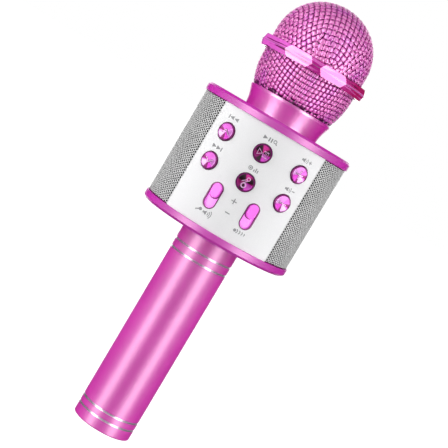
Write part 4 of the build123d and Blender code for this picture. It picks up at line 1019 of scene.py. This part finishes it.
def button_face(name, angle, z, look):
    """A turned disc set in a button's dish, with its turning lines as the UV map."""
    place = button_space(angle, z)
    rings, spokes = 12, 64
    points, faces, turning = [], [], []
    for top in (True, False):
        for k in range(rings + 1):
            r = EYE + (DISH_R - EYE) * k / rings
            for s in range(spokes):
                a = 2 * math.pi * s / spokes
                points.append(place(r * math.cos(a), r * math.sin(a), 0.03 if top else -0.05))
    layer = (rings + 1) * spokes
    for k in range(rings):
        for s in range(spokes):
            a, b = k * spokes + s, k * spokes + (s + 1) % spokes
            faces.append((a, a + spokes, b + spokes, b))
            here, there, inner, outer = s / spokes, (s + 1) / spokes, k / rings, (k + 1) / rings
            turning.append([(here, inner), (here, outer), (there, outer), (there, inner)])
            faces.append((layer + b, layer + b + spokes, layer + a + spokes, layer + a))
            turning.append([(0, 0)] * 4)
    for s in range(spokes):
        n = (s + 1) % spokes
        edge = rings * spokes
        faces.append((edge + s, layer + edge + s, layer + edge + n, edge + n))
        turning.append([(0, 1)] * 4)
    faces.append(list(range(spokes)))
    turning.append([(0, 0)] * spokes)
    faces.append([layer + s for s in range(spokes)][::-1])
    turning.append([(0, 0)] * spokes)
    obj = piece(name, points, faces, look, name.replace("_face", ""))
    uv = obj.data.uv_layers.new(name="turning")
    uv.data.foreach_set("uv", [c for t in turning for pair in t for c in pair])
    return obj


def chevron(way, width):
    """Two strokes that meet above the middle, or below it where way is -1."""
    return [stroke((-2.0, -1.0 * way), (0.1, 1.1 * way), width), stroke((-0.1, 1.1 * way), (2.0, -1.0 * way), width)]


def cross_sign(width, upright=True):
    """A plus, or a minus without its upright."""
    reach = 2.0 + width / 2
    middle, length = (reach + width / 2) / 2, reach - width / 2
    arms = [box(0, middle, width, length), box(0, -middle, width, length)]
    return [box(0, 0, 2 * reach, width)] + (arms if upright else [])


play_pause = [
    outline([(-2.5, 1.5), (-2.5, -1.5), (-0.2, 0)], 0.4),
    outline(box(0.85, 0, 0.9, 2.9), 0.34),
    outline(box(2.35, 0, 0.9, 2.9), 0.34),
]
mic_mark = [
    outline(disc(0.75, 2.0, 0.8), 0.32),
    outline(disc(-0.15, -1.7, 1.15), 0.42),
    stroke((0.1, 1.5), (-2.0, -0.2), 0.38),
    stroke((0.9, 1.1), (-0.9, -0.6), 0.38),
]
for name, angle, z, face_look, shapes, under in (
    ("previous_button", -BUTTON_TURN, UPPER_ROW, spun_left, chevron(1, 0.3), chevron(1, 0.85)),
    ("next_button", -BUTTON_TURN, LOWER_ROW, spun_left, chevron(-1, 0.3), chevron(-1, 0.85)),
    ("play_button", 0.0, UPPER_ROW, spun_dark, play_pause, None),
    ("record_button", 0.0, LOWER_ROW, spun_dark, mic_mark, None),
    ("volume_up_button", BUTTON_TURN, UPPER_ROW, spun_right, cross_sign(0.28), cross_sign(0.8)),
    ("volume_down_button", BUTTON_TURN, LOWER_ROW, spun_right, cross_sign(0.28, False), cross_sign(0.8, False)),
):
    button_face(name + "_face", angle, z, face_look)
    if under:
        marks(name + "_mark_shade", under, button_space(angle, z), dark_mark_and_shade, name, 0.01, 0.06, 0.4)
    marks(name + "_mark", shapes, button_space(angle, z), mark_silver, name, 0.01, 0.09, 0.4)

# ---------------------------------------------------------------- floor and light

FLOOR = 12.0
floor_mesh = bpy.data.meshes.new("floor")
floor_mesh.from_pydata([(x * FLOOR, y * FLOOR, 0) for x, y in ((-1, -1), (1, -1), (1, 1), (-1, 1))], [], [(0, 1, 2, 3)])
floor = bpy.data.objects.new("floor", floor_mesh)
scene.collection.objects.link(floor)
floor_look = Look("pale_floor", (0.6, 0.6, 0.6), 0.9)
floor_look.shader.inputs["Emission Color"].default_value = (1, 1, 1, 1)
rays = floor_look.add("ShaderNodeLightPath").outputs
floor_look.link(floor_look.math("MULTIPLY", rays["Is Camera Ray"], 1.0), floor_look.shader.inputs["Emission Strength"])
wear(floor, floor_look)
floor.visible_glossy = False
floor.visible_shadow = False


def softbox(name, place, target, width, height, power, fill=True, sheen=True):
    """A studio softbox; a flagged one only fills, or only draws its sheen on the lacquer."""
    data = bpy.data.lights.new(name, "AREA")
    data.shape = "RECTANGLE"
    data.size, data.size_y = width, height
    data.energy = power
    obj = bpy.data.objects.new(name, data)
    scene.collection.objects.link(obj)
    obj.matrix_world = look_from(place, target, 0.0)
    obj.visible_diffuse = fill
    obj.visible_glossy = sheen
    return obj


softbox("left_strip", (-0.52, -0.58, 0.14), (0, 0, 0.12), 0.40, 1.2, 9.0, fill=False)
softbox("right_strip", (0.565, -0.54, 0.14), (0, 0, 0.12), 0.40, 1.2, 9.0, fill=False)
softbox("left_fill", (-0.75, -0.16, 0.24), (0, 0, 0.13), 0.5, 0.85, 5.0, sheen=False)
softbox("right_fill", (0.75, -0.16, 0.24), (0, 0, 0.13), 0.5, 0.85, 4.3, sheen=False)
softbox("front_fill", (0, -0.95, 0.30), (0, 0, 0.13), 0.8, 0.6, 1.4, sheen=False)
softbox("top_softbox", (0, -0.35, 0.85), (0, 0, 0.15), 0.7, 0.5, 1.2)
softbox("rear_softbox", (0, 0.85, 0.20), (0, 0, 0.12), 0.7, 1.0, 3.6)

# a white room to the eye, an even fill for matt surfaces, and near darkness in the polish
world = bpy.data.worlds.new("studio")
world.use_nodes = True
background = world.node_tree.nodes["Background"]
background.inputs["Color"].default_value = (1, 1, 1, 1)
scene.world = world
rays = world.node_tree.nodes.new("ShaderNodeLightPath").outputs
level = None
for ray, gain, base in (("Is Camera Ray", 0.66, 0.34), ("Is Glossy Ray", -0.31, None)):
    part = world.node_tree.nodes.new("ShaderNodeMath")
    part.operation = "MULTIPLY_ADD"
    part.inputs[1].default_value = gain
    world.node_tree.links.new(rays[ray], part.inputs[0])
    if level is None:
        part.inputs[2].default_value = base
    else:
        world.node_tree.links.new(level, part.inputs[2])
    level = part.outputs[0]
world.node_tree.links.new(level, background.inputs["Strength"])
